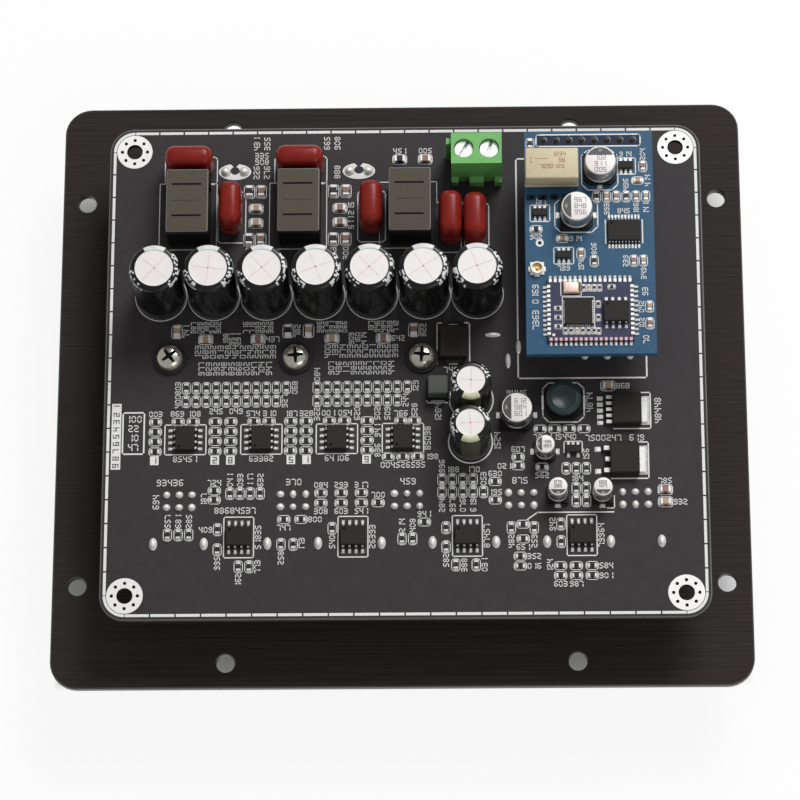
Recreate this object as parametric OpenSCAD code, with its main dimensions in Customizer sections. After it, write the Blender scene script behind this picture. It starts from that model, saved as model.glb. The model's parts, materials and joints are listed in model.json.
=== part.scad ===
// Audio amplifier board fixed behind its control panel. Sizes are in millimetres.
// The origin is the centre of the panel's rear face. +Z points from the panel to the circuit boards,
// +Y to the terminal block's edge, and the control knobs stand on the other side, at negative Z.

/* [Panel] */
// Panel width
panel_w = 140; // [136:1:180]
// Panel height
panel_h = 124; // [120:1:160]
// Panel thickness
panel_t = 2; // [1.5:0.1:3]
// Panel corner radius
panel_corner_r = 5.5; // [2:0.5:10]
// Diameter of the holes round the rim
rim_hole_d = 3.7; // [3:0.1:4.5]
// Distance of the rim holes from the panel's edge
rim_inset = 5; // [4:0.5:6]
// Spacing of the two rim holes along each short side
side_hole_pitch = 82; // [60:1:96]
// Spacing of the two rim holes along each long side
edge_hole_pitch = 70; // [40:1:100]

/* [Main board] */
// Main board width
board_w = 120; // [118:0.5:124]
// Main board height
board_h = 103.5; // [102:0.5:108]
// Main board thickness
board_t = 1.6; // [1:0.1:2.4]
// Main board corner radius
board_corner_r = 5; // [2:0.5:6]
// Sideways shift of the main board from the panel's centre
board_x = 1; // [0:0.1:2]
// Diameter of the board's corner holes
board_hole_d = 3.2; // [2.5:0.1:3.5]
// Distance of the corner holes from the board's edges
board_hole_inset = 5; // [4.5:0.1:5.5]

/* [Controls] */
// Spacing of the five controls
control_pitch = 22.5; // [22:0.1:23]
// Height of the row of controls on the panel
control_y = -36.3; // [-37:0.1:-35.5]
// Depth of a control from the panel to the main board
control_body_h = 12.4; // [11.5:0.1:16]
// Width of a control's case
control_body_w = 9.4; // [9:0.1:9.8]
// Diameter of a control's threaded bush
bush_d = 7; // [6.8:0.1:8]
// Diameter of a control's shaft
shaft_d = 6; // [5:0.1:6]
// Radial running clearance of the shaft in its bush
shaft_play = 0.05; // [0.03:0.01:0.08]
// Knob diameter
knob_d = 15; // [14.5:0.5:19]
// Knob length
knob_h = 15; // [12:0.5:20]

/* [Capacitors] */
// Diameter of the seven bulk capacitors
bulk_d = 10; // [8:0.1:10.4]
// Height of the bulk capacitors
bulk_h = 17; // [12:0.5:25]
// Free space between neighbouring bulk capacitors
bulk_gap = 0.6; // [0.4:0.1:0.8]
// Diameter of the two supply capacitors
supply_d = 8; // [6.3:0.1:8.2]
// Height of the supply capacitors
supply_h = 13; // [9:0.5:16]
// Length of a film capacitor
film_l = 9.6; // [8:0.1:10]
// Thickness of a film capacitor
film_t = 4.6; // [3.8:0.1:4.8]
// Height of a film capacitor
film_h = 8.8; // [7:0.1:11]

/* [Inductors] */
// Width of an output inductor
inductor_w = 8.4; // [7.5:0.1:9]
// Length of an output inductor
inductor_l = 13.4; // [11:0.1:13.6]
// Height of an output inductor
inductor_h = 9.2; // [7:0.1:12]
// Spacing of the three output inductors
inductor_pitch = 22.3; // [22:0.1:22.8]

/* [Terminal block] */
// Pole spacing of the terminal block
terminal_pitch = 5.08; // [5:0.01:5.2]
// Height of the terminal block
terminal_h = 10; // [9.5:0.1:12]
// Depth of the terminal block
terminal_depth = 6.6; // [6.4:0.1:7.2]

/* [Wireless board] */
// Wireless board width
wireless_w = 25.6; // [25.4:0.1:27]
// Wireless board height
wireless_h = 47; // [46.6:0.1:48]
// Wireless board thickness
wireless_t = 1.6; // [1:0.1:2]
// Height of the socket strip on the main board
socket_h = 8.5; // [8.5:0.1:11]
// Height of the pin strip's insulator
pin_strip_h = 2.54; // [2:0.01:3]

/* [Heat path] */
// Spacing of the three spreader screws
screw_pitch = 25.2; // [24:0.1:26]
// Thread diameter of the spreader screws
screw_d = 3; // [2.5:0.1:3]
// Width of the heat spreader bar
spreader_w = 14; // [12:0.5:18]

/* [Hidden] */
$fn = 48;

// Heights of the faces that carry the pieces
board_z = control_body_h;
top_z = board_z + board_t;
wireless_z = top_z + socket_h + pin_strip_h;
deck_z = wireless_z + wireless_t;

// Controls
control_x = board_x + 0.4;
function ctl(i) = control_x + (i - 3) * control_pitch;
pin_x = 2.5;
pin_rows = [7.5, 10.1];
tab_x = control_body_w / 2 + 0.3;
bush_len = panel_t + 3.5;
nut_t = 2;
washer_t = 0.5;
nut_af = bush_d + 3;
nut_room = nut_af / cos(30) + 1;
knob_r = max(knob_d / 2, nut_room / 2 + 0.9);
knob_z = -panel_t - 1;
shaft_end = knob_z - knob_h + 3;
flat_x = shaft_d / 4;

// Capacitor and inductor places
bulk_y = 15.4;
bulk_pitch = bulk_d + bulk_gap;
bulk_mid = board_x - 17.2;
bulk_pin = 2.5;
function bulk_x(i) = bulk_mid + (i - 4) * bulk_pitch;
supply_at = [[board_x + 13.2, -6.9], [board_x + 13, -15.7]];
inductor_mid = board_x - 21.1;
inductor_y = 32.6;
function ind_x(i) = inductor_mid + (i - 2) * inductor_pitch;
film_pin = 3.75;
film_gap = 1.2;
film_row = inductor_y + inductor_l / 2 + film_t / 2 + film_gap;
// Each film capacitor: x, y, and 1 where its length runs along Y
film_at = [
    [ind_x(1), film_row, 0],
    [ind_x(2), film_row, 0],
    [ind_x(1) + inductor_w / 2 + film_t / 2 + 1.9, inductor_y, 1],
    [ind_x(3) - inductor_w / 2 - film_t / 2 - 1.4, inductor_y, 1],
    [board_x + 9.3, 30.2, 1],
    [board_x + 14.2, 29.8, 1]
];

// Terminal block, wireless board and heat path
terminal_x = board_x + 14.6;
terminal_y = 43;
terminal_lip = 0.2;
terminal_entry = [4, 4.6];
terminal_floor = 1;
terminal_back = 1.4;
terminal_foot = [1.1, 2.7];
terminal_notch = 2.2;
terminal_rib = [1, 1.4];
wireless_at = [board_x + 36.9, 21.75];
header_y = wireless_at[1] + wireless_h / 2 - 1.9;
header_n = 8;
header_p = 2.54;
screw_x = board_x - 21.8;
screw_y = 2.05;
washer_d = screw_d * 2.2;
chip_gap = 1.2;
spreader_z = board_z - chip_gap;
amp_w = 14;
amp_l = 6.1;

// Rectifier diode, beside the last spreader screw
diode_w = 5.4;
diode_l = 6.6;
diode_h = 2.2;
diode_gap = 0.3;
diode_at = [screw_x + screw_pitch + washer_d / 2 + diode_gap + diode_w / 2, screw_y + 2.75];

// Op-amps: the upper row has its leads left and right, the lower row above and below
op_upper = [board_x - 43.6, board_x - 28.5, board_x - 13.5, board_x - 0.4];
op_upper_y = -14.8;
op_lower_y = control_y + 1.3;
function op_lower(i) = ctl(i) + control_pitch / 2 + 0.6;

// Sockets on the panel side; the speaker sockets stand clear of the solder under the board
joint_h = 0.9;
nose_play = 0.2;
power_at = [board_x + 19.5, 4];
power_case = [9, 9.6];
power_nose_d = 8;
power_bore_d = 6.2;
power_pin_d = 2;
power_pins = [[-1.9, 2.7, 0], [1.1, -2.8, 90], [3.2, 0.1, 90]];
input_at = [board_x + 40.4, 6.4];
input_case = [11, 10.4];
input_nose_d = 6;
input_bore_d = 3.6;
input_pins = [-4.5, 0, 4.5];
input_pin_y = input_at[1] - input_case[1] / 2 + 1;
speaker_at = [[board_x - 34.5, 42.2], [board_x - 9.3, 42.2]];
speaker_pin = 1.9;
socket_case = [12, 9];
socket_bore = [9.8, 6.6];
socket_case_h = board_z - joint_h - 0.3;

// Surface mounted capacitors: x, y, can diameter, turn of the polarity corner
surface_at = [
    [board_x + 22.2, -10.2, 6.3, 180],
    [board_x + 27.7, -17.8, 4, 180],
    [ctl(4) + 7.2, control_y + 9.8, 4, 270],
    [ctl(4) + 16, control_y + 9.7, 4, 270]
];
surface_h = 5.4;

// Rows of small chips: x, y, count, step in x, step in y, and 1 where each chip stands along Y
chip_l = 1.6;
chip_w = 0.8;
chip_h = 0.5;
bank_y = screw_y - 6.1;
op_rows_y = op_upper_y + 3.7;
pins_y = control_y + 10.3;
low_y = control_y + 1.9;
resistor_rows = [
    [screw_x - 21.8, bank_y, 11, 2, 0, 1],
    [screw_x - 21.8, bank_y - 2.8, 10, 2, 0, 1],
    [screw_x + 4.3, bank_y, 10, 2, 0, 1],
    [screw_x + 4.3, bank_y - 2.8, 9, 2, 0, 1],
    [op_upper[0] - 6, op_rows_y, 4, 0, -2.05, 0],
    [op_upper[0] + 5.9, op_rows_y, 4, 0, -2.05, 0],
    [op_upper[0] + 9, op_rows_y, 4, 0, -2.05, 0],
    [op_upper[1] + 5.8, op_rows_y, 4, 0, -2.05, 0],
    [op_upper[1] + 8.9, op_rows_y, 4, 0, -2.05, 0],
    [op_upper[2] + 6, op_rows_y, 4, 0, -2.05, 0],
    [op_upper[0] - 1.5, op_rows_y, 2, 3, 0, 0],
    [op_upper[1] - 1.5, op_rows_y, 2, 3, 0, 0],
    [op_upper[2] - 1.5, op_rows_y, 2, 3, 0, 0],
    [op_upper[3] - 0.4, op_rows_y - 0.1, 2, 2.7, 0, 0],
    [op_upper[3] - 2.9, op_upper_y - 3.8, 3, 2.9, 0, 0],
    [ctl(1) - 2.2, low_y, 3, 2.1, 0, 1],
    [ctl(1) + 10, pins_y, 4, 2, 0, 1],
    [ctl(1) + 6.9, pins_y + 0.6, 2, 0, -1.9, 0],
    [op_lower(1) - 4.2, low_y + 1, 2, 0, -4.1, 1],
    [op_lower(1), op_lower_y - 6, 2, 2.1, 0, 1],
    [ctl(2) - 2.3, low_y - 2.1, 2, 2.4, 0, 1],
    [ctl(2) - 1.8, control_y + 4.9, 2, 3.4, 0, 0],
    [ctl(2) + 5.5, pins_y, 3, 4, 0, 0],
    [ctl(2) + 5.5, pins_y - 2.1, 3, 4, 0, 0],
    [ctl(2) + 16.8, pins_y - 2.1, 1, 0, 0, 0],
    [op_lower(2) - 4.1, low_y + 1.1, 1, 0, 0, 1],
    [ctl(3) - 1, low_y - 1.1, 2, 2.1, 0, 1],
    [ctl(3) + 6.9, pins_y, 5, 2.05, 0, 1],
    [ctl(3) + 6.9, pins_y + 2.6, 4, 2.05, 0, 1],
    [ctl(3) + 17.4, pins_y + 2.1, 1, 0, 0, 0],
    [ctl(3) + 17.4, pins_y - 1.7, 1, 0, 0, 0],
    [op_lower(3) - 4.2, low_y + 1.1, 2, 0, -3.9, 1],
    [ctl(3) + 3.4, control_y + 4.2, 1, 0, 0, 0],
    [op_lower(3) - 2.3, op_lower_y - 5.9, 2, 4, 0, 1],
    [op_lower(4) - 4.1, low_y + 1.7, 2, 0, -3.6, 1],
    [ctl(4) + 0.3, low_y + 1.7, 2, 0, -3, 0],
    [ctl(4) - 2, low_y + 1, 2, 4.5, 0, 1],
    [ctl(4) - 0.3, op_lower_y - 4.2, 2, 0, -2, 0],
    [op_lower(4) - 4.3, op_lower_y - 6.2, 3, 3.1, 0, 0],
    [op_lower(4) - 4.3, op_lower_y - 8.2, 3, 3.1, 0, 0],
    [op_lower(4) - 2.9, pins_y + 4.7, 3, 2, 0, 1],
    [op_lower(4) - 1, pins_y + 0.6, 2, 2, 0, 1],
    [op_lower(4) - 1, pins_y - 2, 2, 2, 0, 1],
    [board_x + 26.8, -13.1, 4, 2.9, 0, 0],
    [board_x + 22.4, -18.9, 2, 0, -1.8, 0],
    [board_x + 27.1, -21, 1, 0, 0, 0]
];
cap_l = 2;
cap_w = 1.25;
cap_h = 0.9;
side_x = [film_at[2][0] + film_t / 2 + 1.2, ind_x(2) + inductor_w / 2 + 2.5];
under_y = bulk_y - bulk_d / 2 - 2.5;
capacitor_rows = [
    [side_x[0], inductor_y + 5.2, 2, 2.4, 0, 1],
    [side_x[0] + 1.4, inductor_y + 1.5, 2, 0, -3.1, 0],
    [side_x[0], inductor_y - 5.2, 2, 2.4, 0, 1],
    [side_x[1], inductor_y + 5.2, 2, 2.5, 0, 1],
    [side_x[1] + 1.3, inductor_y + 1.5, 2, 0, -3.1, 0],
    [side_x[1], inductor_y - 5.2, 2, 2.5, 0, 1],
    [ind_x(3) - 2.2, terminal_y + 1.6, 2, 5.2, 0, 0],
    [screw_x - 23.9, under_y, 1, 0, 0, 1],
    [screw_x - 18.1, under_y - 1.7, 2, 10.5, 0, 0],
    [screw_x - 1.6, under_y, 2, 4.1, 0, 1],
    [screw_x + 7.2, under_y - 1.7, 2, 10.3, 0, 0],
    [screw_x + 23.6, under_y, 1, 0, 0, 1],
    [board_x + 40.4, -4.2, 1, 0, 0, 0],
    [ctl(5) + 5.9, pins_y + 0.2, 2, 0, -2.5, 0]
];
deck_rows = [
    [wireless_at[0] + 1.5, 31.2, 6, 1.95, 0, 1],
    [wireless_at[0] + 9.7, 34.6, 1, 0, 0, 0],
    [wireless_at[0] + 10.8, 37.6, 1, 0, 0, 1],
    [wireless_at[0] - 11.6, 42.6, 1, 0, 0, 1],
    [wireless_at[0] - 10.6, 24.4, 1, 0, 0, 0],
    [wireless_at[0] - 5.4, 22.4, 1, 0, 0, 0],
    [wireless_at[0] - 1.8, 19.2, 1, 0, 0, 1],
    [wireless_at[0] + 0.8, 17.6, 1, 0, 0, 1],
    [wireless_at[0] + 8.6, 17.6, 2, 1.9, 0, 1],
    [wireless_at[0] + 11.5, 8, 2, 0, -3.5, 1]
];
module_at = [wireless_at[0] - 0.1, 7.2];
module_size = [17, 12.8];
module_t = 0.8;
module_z = deck_z + module_t;
// Rows of the smallest chips on the module, from its middle
tiny_l = 1;
tiny_w = 0.5;
tiny_h = 0.35;
module_rows = [
    [-1.3, 4.5, 4, 1.04, 0, 1],
    [4.2, 4.7, 1, 0, 0, 0],
    [-6.4, 0.3, 3, 0, -1.9, 0],
    [1.5, 1.1, 3, 0, -2.8, 1],
    [-5, -4.4, 6, 1.13, 0, 1]
];
sot_main = [[board_x + 33.3, -17.4]];
sot_deck = [
    [wireless_at[0] + 7.4, 37.7],
    [wireless_at[0] - 9.8, 27.8],
    [wireless_at[0] - 5.2, 18.8]
];

// Shared shapes

// A block standing on z = 0 about its own centre
module block(w, l, h) {
    translate([-w / 2, -l / 2, 0]) cube([w, l, h]);
}

// A rectangle with rounded corners
module rounded(w, l, r) {
    square([w - 2 * r, l], center = true);
    square([w, l - 2 * r], center = true);
    for (sx = [-1, 1])
        for (sy = [-1, 1])
            translate([sx * (w / 2 - r), sy * (l / 2 - r)]) circle(r);
}

// A body with rounded edges on every side
module pillow(w, l, h, r) {
    intersection() {
        linear_extrude(h) rounded(w, l, r);
        translate([0, l / 2, h / 2]) rotate([90, 0, 0]) linear_extrude(l) rounded(w, h, r);
        translate([-w / 2, 0, h / 2]) rotate([90, 0, 90]) linear_extrude(w) rounded(l, h, r);
    }
}

// A ring standing on z = 0
module ring(od, id, h) {
    difference() {
        cylinder(d = od, h = h);
        translate([0, 0, -1]) cylinder(d = id, h = h + 2);
    }
}

// A sleeved round can with its crimp groove and its turned-in top edge
module can(d, h, groove) {
    r = d / 2;
    rotate_extrude()
        polygon([
            [0, 0], [r - 0.3, 0], [r, 0.3], [r, groove], [r - 0.35, groove + 0.4],
            [r - 0.35, groove + 0.7], [r, groove + 1.1], [r, h - 0.9], [r - 0.25, h - 0.3],
            [r - 0.9, h], [0.75 * r, h], [0.75 * r - 0.1, h - 0.15], [0, h - 0.15]
        ]);
}

// Two leads through the main board
module lead_pair(pitch, d) {
    for (s = [-1, 1])
        translate([s * pitch / 2, 0, -board_t]) cylinder(d = d, h = board_t + 0.4);
}

// A surface mounted can on its square foot
module surface_can(d, h) {
    foot = d + 0.3;
    union() {
        difference() {
            block(foot, foot, 0.9);
            for (sy = [-1, 1])
                translate([-foot / 2, sy * foot / 2, -1]) rotate(45) block(d / 4, d / 4, 3);
        }
        for (s = [-1, 1])
            translate([s * (foot / 2 + 0.2), 0, 0]) block(0.9, 0.7, 0.2);
        translate([0, 0, 0.8]) can(d, h - 0.8, 0.5);
    }
}

// One bent lead that points along +X from the body's edge at x = 0
module gull_lead(reach, w, z) {
    translate([-0.1, -w / 2, z]) cube([reach * 0.45 + 0.1, w, 0.2]);
    translate([reach * 0.45 - 0.2, -w / 2, 0]) cube([0.2, w, z + 0.2]);
    translate([reach * 0.45 - 0.2, -w / 2, 0]) cube([reach * 0.55 + 0.2, w, 0.2]);
}

// A chip package with leads along both sides at x = +-w/2
module dual_package(w, l, h, leads, pitch, reach, lead_w) {
    union() {
        translate([0, 0, 0.1]) block(w, l, h);
        for (side = [0, 180])
            rotate(side)
                for (k = [0:leads - 1])
                    translate([w / 2, (k - (leads - 1) / 2) * pitch, 0]) gull_lead(reach, lead_w, h * 0.42);
    }
}

// A power package with its tab at +X and its leads at -X
module tab_package(leads, pitch, skip) {
    union() {
        block(5.8, 6.4, 2.3);
        translate([3.4, 0, 0]) block(1.4, 5.2, 0.6);
        for (k = [0:leads - 1])
            translate([-2.9, (k - (leads - 1) / 2) * pitch, 0])
                rotate(180) gull_lead(k == skip ? 0.9 : 2.6, leads > 3 ? 0.7 : 0.9, 0.9);
    }
}

// A small three or six lead package
module small_package(leads) {
    union() {
        translate([0, 0, 0.1]) block(2.9, 1.5, 0.95);
        for (k = [0:leads / 2 - 1])
            translate([(k - (leads / 2 - 1) / 2) * 0.95, 0, 0]) block(0.4, 2.8, 0.3);
    }
}

module chip_rows(rows, l, w, h) {
    for (q = rows)
        for (k = [0:q[2] - 1])
            translate([q[0] + k * q[3], q[1] + k * q[4], 0])
                rotate(q[5] * 90) block(l, w, h);
}

// A fillet of solder standing on z = 0
module joint(d, h) {
    cylinder(d1 = d, d2 = d * 0.5, h = h);
}

// Panel and main board

module front_panel() {
    color([0.13, 0.115, 0.115])
        difference() {
            translate([0, 0, -panel_t]) linear_extrude(panel_t) rounded(panel_w, panel_h, panel_corner_r);
            for (sx = [-1, 1])
                for (sy = [-1, 1]) {
                    translate([sx * (panel_w / 2 - rim_inset), sy * side_hole_pitch / 2, -panel_t - 1])
                        cylinder(d = rim_hole_d, h = panel_t + 2);
                    translate([sx * edge_hole_pitch / 2, sy * (panel_h / 2 - rim_inset), -panel_t - 1])
                        cylinder(d = rim_hole_d, h = panel_t + 2);
                }
            for (i = [1:5])
                translate([ctl(i), control_y, -panel_t - 1]) cylinder(d = bush_d + 0.2, h = panel_t + 2);
            translate([power_at[0], power_at[1], -panel_t - 1])
                cylinder(d = power_nose_d + nose_play, h = panel_t + 2);
            translate([input_at[0], input_at[1], -panel_t - 1])
                cylinder(d = input_nose_d + nose_play, h = panel_t + 2);
            for (p = speaker_at)
                translate([p[0], p[1], -panel_t - 1])
                    block(socket_case[0] - 0.8, socket_case[1] - 0.8, panel_t + 2);
        }
}

module board_drill(x, y, d) {
    translate([x, y, board_z - 1]) cylinder(d = d, h = board_t + 2);
}

module main_board() {
    color([0.2, 0.195, 0.2])
        difference() {
            translate([board_x, 0, board_z])
                linear_extrude(board_t) rounded(board_w, board_h, board_corner_r);
            for (sx = [-1, 1])
                for (sy = [-1, 1])
                    board_drill(board_x + sx * (board_w / 2 - board_hole_inset),
                        sy * (board_h / 2 - board_hole_inset), board_hole_d);
            for (k = [-1:1])
                board_drill(screw_x + k * screw_pitch, screw_y, screw_d + 0.2);
            for (i = [1:5]) {
                for (row = pin_rows)
                    for (k = [-1:1])
                        board_drill(ctl(i) + k * pin_x, control_y + row, 1.1);
                for (s = [-1, 1])
                    translate([ctl(i) + s * tab_x, control_y, board_z - 1]) block(0.8, 2.2, board_t + 2);
            }
            for (i = [1:7])
                for (s = [-1, 1])
                    board_drill(bulk_x(i), bulk_y + s * bulk_pin, 0.9);
            for (p = supply_at)
                for (s = [-1, 1])
                    board_drill(p[0], p[1] + s * 1.75, 0.8);
            for (p = film_at)
                for (s = [-1, 1])
                    board_drill(p[0] + s * film_pin * (1 - p[2]), p[1] + s * film_pin * p[2], 0.8);
            for (i = [1:3])
                for (sx = [-1, 1])
                    for (sy = [-1, 1])
                        board_drill(ind_x(i) + sx * (inductor_w / 2 - 1.4),
                            inductor_y + sy * (inductor_l / 2 - 2), 1.1);
            for (s = [-1, 1])
                board_drill(terminal_x + s * terminal_pitch / 2, terminal_y, 1.1);
            for (k = [0:header_n - 1])
                board_drill(wireless_at[0] + (k - (header_n - 1) / 2) * header_p, header_y, 0.9);
            for (p = power_pins)
                translate([power_at[0] + p[0], power_at[1] + p[1], board_z - 1])
                    rotate(p[2]) block(2.6, 0.8, board_t + 2);
            for (x = input_pins)
                board_drill(input_at[0] + x, input_pin_y, 1.1);
            for (p = speaker_at)
                for (s = [-1, 1])
                    board_drill(p[0] + s * speaker_pin, p[1], 1.3);
        }
}

// Heat path from the amplifier chips to the panel

module heat_spreader() {
    color([0.72, 0.73, 0.75])
        difference() {
            translate([screw_x, screw_y, 0])
                union() {
                    block(2 * screw_pitch + 9, spreader_w, spreader_z);
                    for (k = [-1:1])
                        translate([k * screw_pitch, 0, 0]) cylinder(d = 7, h = board_z);
                }
            for (k = [-1:1])
                translate([screw_x + k * screw_pitch, screw_y, 3]) cylinder(d = screw_d + 0.1, h = board_z);
        }
}

module amplifier_chips() {
    color([0.09, 0.09, 0.09])
        for (k = [-0.5, 0.5])
            translate([screw_x + k * screw_pitch, screw_y, spreader_z])
                union() {
                    block(amp_w, amp_l, chip_gap - 0.1);
                    for (s = [-1, 1])
                        for (n = [0:21])
                            translate([(n - 10.5) * 0.635, s * (amp_l / 2 + 0.5), chip_gap - 0.6])
                                block(0.27, 1.1, 0.6);
                }
}

module spreader_washers() {
    color([0.16, 0.16, 0.16])
        for (k = [-1:1])
            translate([screw_x + k * screw_pitch, screw_y, top_z]) ring(washer_d, screw_d + 0.2, 0.6);
}

module spreader_screws() {
    color([0.78, 0.77, 0.74])
        for (k = [-1:1])
            translate([screw_x + k * screw_pitch, screw_y, top_z + 0.6])
                difference() {
                    union() {
                        translate([0, 0, -board_t - 5]) cylinder(d = screw_d, h = board_t + 5.1);
                        rotate_extrude()
                            polygon([[0, 0], [2.6, 0], [2.6, 0.9], [2.35, 1.45], [1.9, 1.8], [0, 2]]);
                    }
                    for (a = [0, 90])
                        translate([0, 0, 0.9]) rotate(a + 20 * k) block(2.6, 0.6, 2);
                }
}

// Parts of the output stage

module output_inductor(i) {
    color([0.3, 0.285, 0.25])
        translate([ind_x(i), inductor_y, top_z])
            union() {
                difference() {
                    translate([0, 0, 0.6]) block(inductor_w, inductor_l, inductor_h - 0.6);
                    for (y = [0.25, -0.25])
                        translate([0, y * inductor_l, inductor_h - 0.35]) block(inductor_w * 0.74, 0.35, 1);
                    for (s = [-1, 1])
                        translate([s * inductor_w / 2, 0, 2]) block(1.2, inductor_l - 4.4, inductor_h - 4);
                }
                block(inductor_w - 0.4, inductor_l - 0.4, 0.7);
                for (sx = [-1, 1])
                    for (sy = [-1, 1])
                        translate([sx * (inductor_w / 2 - 1.4), sy * (inductor_l / 2 - 2), -board_t])
                            cylinder(d = 1, h = board_t + 0.4);
            }
}

module film_capacitors() {
    color([0.5, 0.12, 0.1])
        for (p = film_at)
            translate([p[0], p[1], top_z])
                rotate(p[2] * 90)
                    union() {
                        translate([0, 0, 0.2]) pillow(film_l, film_t, film_h - 0.2, film_t * 0.42);
                        for (s = [-1, 1])
                            translate([s * film_pin, 0, -board_t]) cylinder(d = 0.7, h = board_t + 3);
                        for (s = [-1, 1])
                            translate([s * film_pin * 0.5, 0, 0]) cylinder(d = 1.4, h = 2);
                    }
}

module bulk_capacitor(i) {
    color([0.1, 0.1, 0.11])
        translate([bulk_x(i), bulk_y, top_z])
            union() {
                can(bulk_d, bulk_h, 1.6);
                rotate(90) lead_pair(2 * bulk_pin, 0.8);
            }
}

module supply_capacitors() {
    color([0.1, 0.1, 0.11])
        for (p = supply_at)
            translate([p[0], p[1], top_z])
                union() {
                    can(supply_d, supply_h, 1.4);
                    rotate(90) lead_pair(3.5, 0.7);
                }
}

module surface_capacitors() {
    color([0.75, 0.76, 0.78])
        for (p = surface_at)
            translate([p[0], p[1], top_z]) rotate(p[3]) surface_can(p[2], surface_h);
}

// Parts of the power supply

module buck_inductor() {
    color([0.16, 0.24, 0.25])
        translate([board_x + 31.5, -7.6, top_z])
            union() {
                difference() {
                    block(7.8, 7.8, 1);
                    for (a = [45:90:315])
                        rotate(a) translate([5.3, 0, -1]) block(1.6, 4, 3);
                }
                cylinder(d = 6.4, h = 3);
                translate([0, 0, 2.6]) cylinder(d = 7, h = 0.7);
                translate([0, 0, 3.3]) cylinder(d1 = 7, d2 = 6.4, h = 0.3);
            }
}

module choke_inductor() {
    color([0.16, 0.16, 0.16])
        translate([board_x + 6.6, -4.7, top_z])
            union() {
                block(4.6, 4.6, 0.6);
                translate([0, 0, 0.5]) linear_extrude(3) rounded(4, 4, 0.5);
            }
}

module voltage_regulator() {
    color([0.11, 0.11, 0.11])
        translate([board_x + 44, -9.4, top_z]) tab_package(5, 1.27, -1);
}

module power_transistor() {
    color([0.11, 0.11, 0.11])
        translate([board_x + 43.4, -19.7, top_z]) tab_package(3, 2.29, 1);
}

module input_diode() {
    color([0.1, 0.1, 0.1])
        translate([diode_at[0], diode_at[1], top_z])
            union() {
                translate([0, 0, 0.1]) block(diode_w, diode_l, diode_h);
                for (s = [-1, 1])
                    translate([0, s * diode_l / 2, 0]) block(3, 1.5, 0.4);
            }
}

// Signal chips

module op_amps() {
    color([0.12, 0.12, 0.12])
        union() {
            for (x = op_upper)
                translate([x, op_upper_y, top_z]) dual_package(3.9, 4.9, 1.45, 4, 1.27, 1.1, 0.42);
            for (i = [1:4])
                translate([op_lower(i), op_lower_y, top_z])
                    rotate(90) dual_package(3.9, 4.9, 1.45, 4, 1.27, 1.1, 0.42);
        }
}

module small_transistors() {
    color([0.12, 0.12, 0.12])
        union() {
            for (p = sot_main)
                translate([p[0], p[1], top_z]) small_package(4);
            for (p = sot_deck)
                translate([p[0], p[1], deck_z]) small_package(6);
        }
}

module chip_resistors() {
    color([0.15, 0.15, 0.16])
        translate([0, 0, top_z]) chip_rows(resistor_rows, chip_l, chip_w, chip_h);
}

module chip_capacitors() {
    color([0.55, 0.44, 0.34])
        translate([0, 0, top_z]) chip_rows(capacitor_rows, cap_l, cap_w, cap_h);
}

// Terminal block

// The wires enter from the board's edge; the feet stand out behind, with a notch at each pole
module terminal_housing() {
    w = 2 * terminal_pitch;
    d = terminal_depth;
    entry_top = terminal_floor + terminal_entry[1];
    foot_slope = 0.4;
    color([0.24, 0.5, 0.22])
        translate([terminal_x, terminal_y, top_z])
            difference() {
                union() {
                    translate([-w / 2, 0, 0])
                        rotate([90, 0, 90])
                            linear_extrude(w)
                                polygon([
                                    [-d / 2 - terminal_foot[0], 0], [d / 2 + terminal_lip, 0],
                                    [d / 2 + terminal_lip, entry_top - terminal_lip], [d / 2, entry_top],
                                    [d / 2, terminal_h], [-d / 2, terminal_h], [-d / 2, terminal_foot[1]],
                                    [-d / 2 - terminal_foot[0], terminal_foot[1] - foot_slope]
                                ]);
                    translate([-w / 2, d / 2 - terminal_rib[1], 0]) joining_rib();
                }
                for (s = [-1, 1])
                    translate([s * terminal_pitch / 2, 0, 0]) {
                        translate([0, 0, terminal_floor + 4]) cylinder(d = 4, h = terminal_h);
                        translate([-terminal_entry[0] / 2, -d / 2 + terminal_back, terminal_floor])
                            cube([terminal_entry[0], d, terminal_entry[1]]);
                        translate([0, -d / 2 - terminal_foot[0], -1])
                            block(terminal_notch, 2 * terminal_foot[0], terminal_foot[1] + 2);
                        translate([0, 0, -1]) cylinder(d = 1.1, h = 3);
                    }
            }
}

// The dovetail on the block's side that a further block slides on to
module joining_rib() {
    out = terminal_rib[0];
    half = terminal_rib[1] / 2;
    linear_extrude(terminal_h - 1)
        polygon([[0.1, -half * 0.6], [-out, -half], [-out, half], [0.1, half * 0.6]]);
}

module terminal_clamps() {
    color([0.7, 0.7, 0.68])
        for (s = [-1, 1])
            translate([terminal_x + s * terminal_pitch / 2, terminal_y, top_z])
                union() {
                    difference() {
                        translate([0, 0.3, terminal_floor]) block(3.6, 3.6, 4.2);
                        translate([0, 0.3, terminal_floor + 0.6]) block(2.6, 5, 2.4);
                        translate([0, 0, 3]) cylinder(d = 2.6, h = 4);
                    }
                    translate([0, 0, -board_t]) cylinder(d = 1, h = board_t + 1.4);
                }
}

module terminal_screws() {
    color([0.82, 0.82, 0.82])
        for (s = [-1, 1])
            translate([terminal_x + s * terminal_pitch / 2, terminal_y, top_z])
                difference() {
                    union() {
                        translate([0, 0, 3.4]) cylinder(d = 2.5, h = 4);
                        translate([0, 0, 5.2]) cylinder(d = 3.7, h = terminal_h - 6);
                    }
                    translate([0, 0, terminal_h - 1.7]) rotate(s * 6 + 67) block(5, 0.7, 2);
                }
}

// Wireless board and what stands on it

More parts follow.
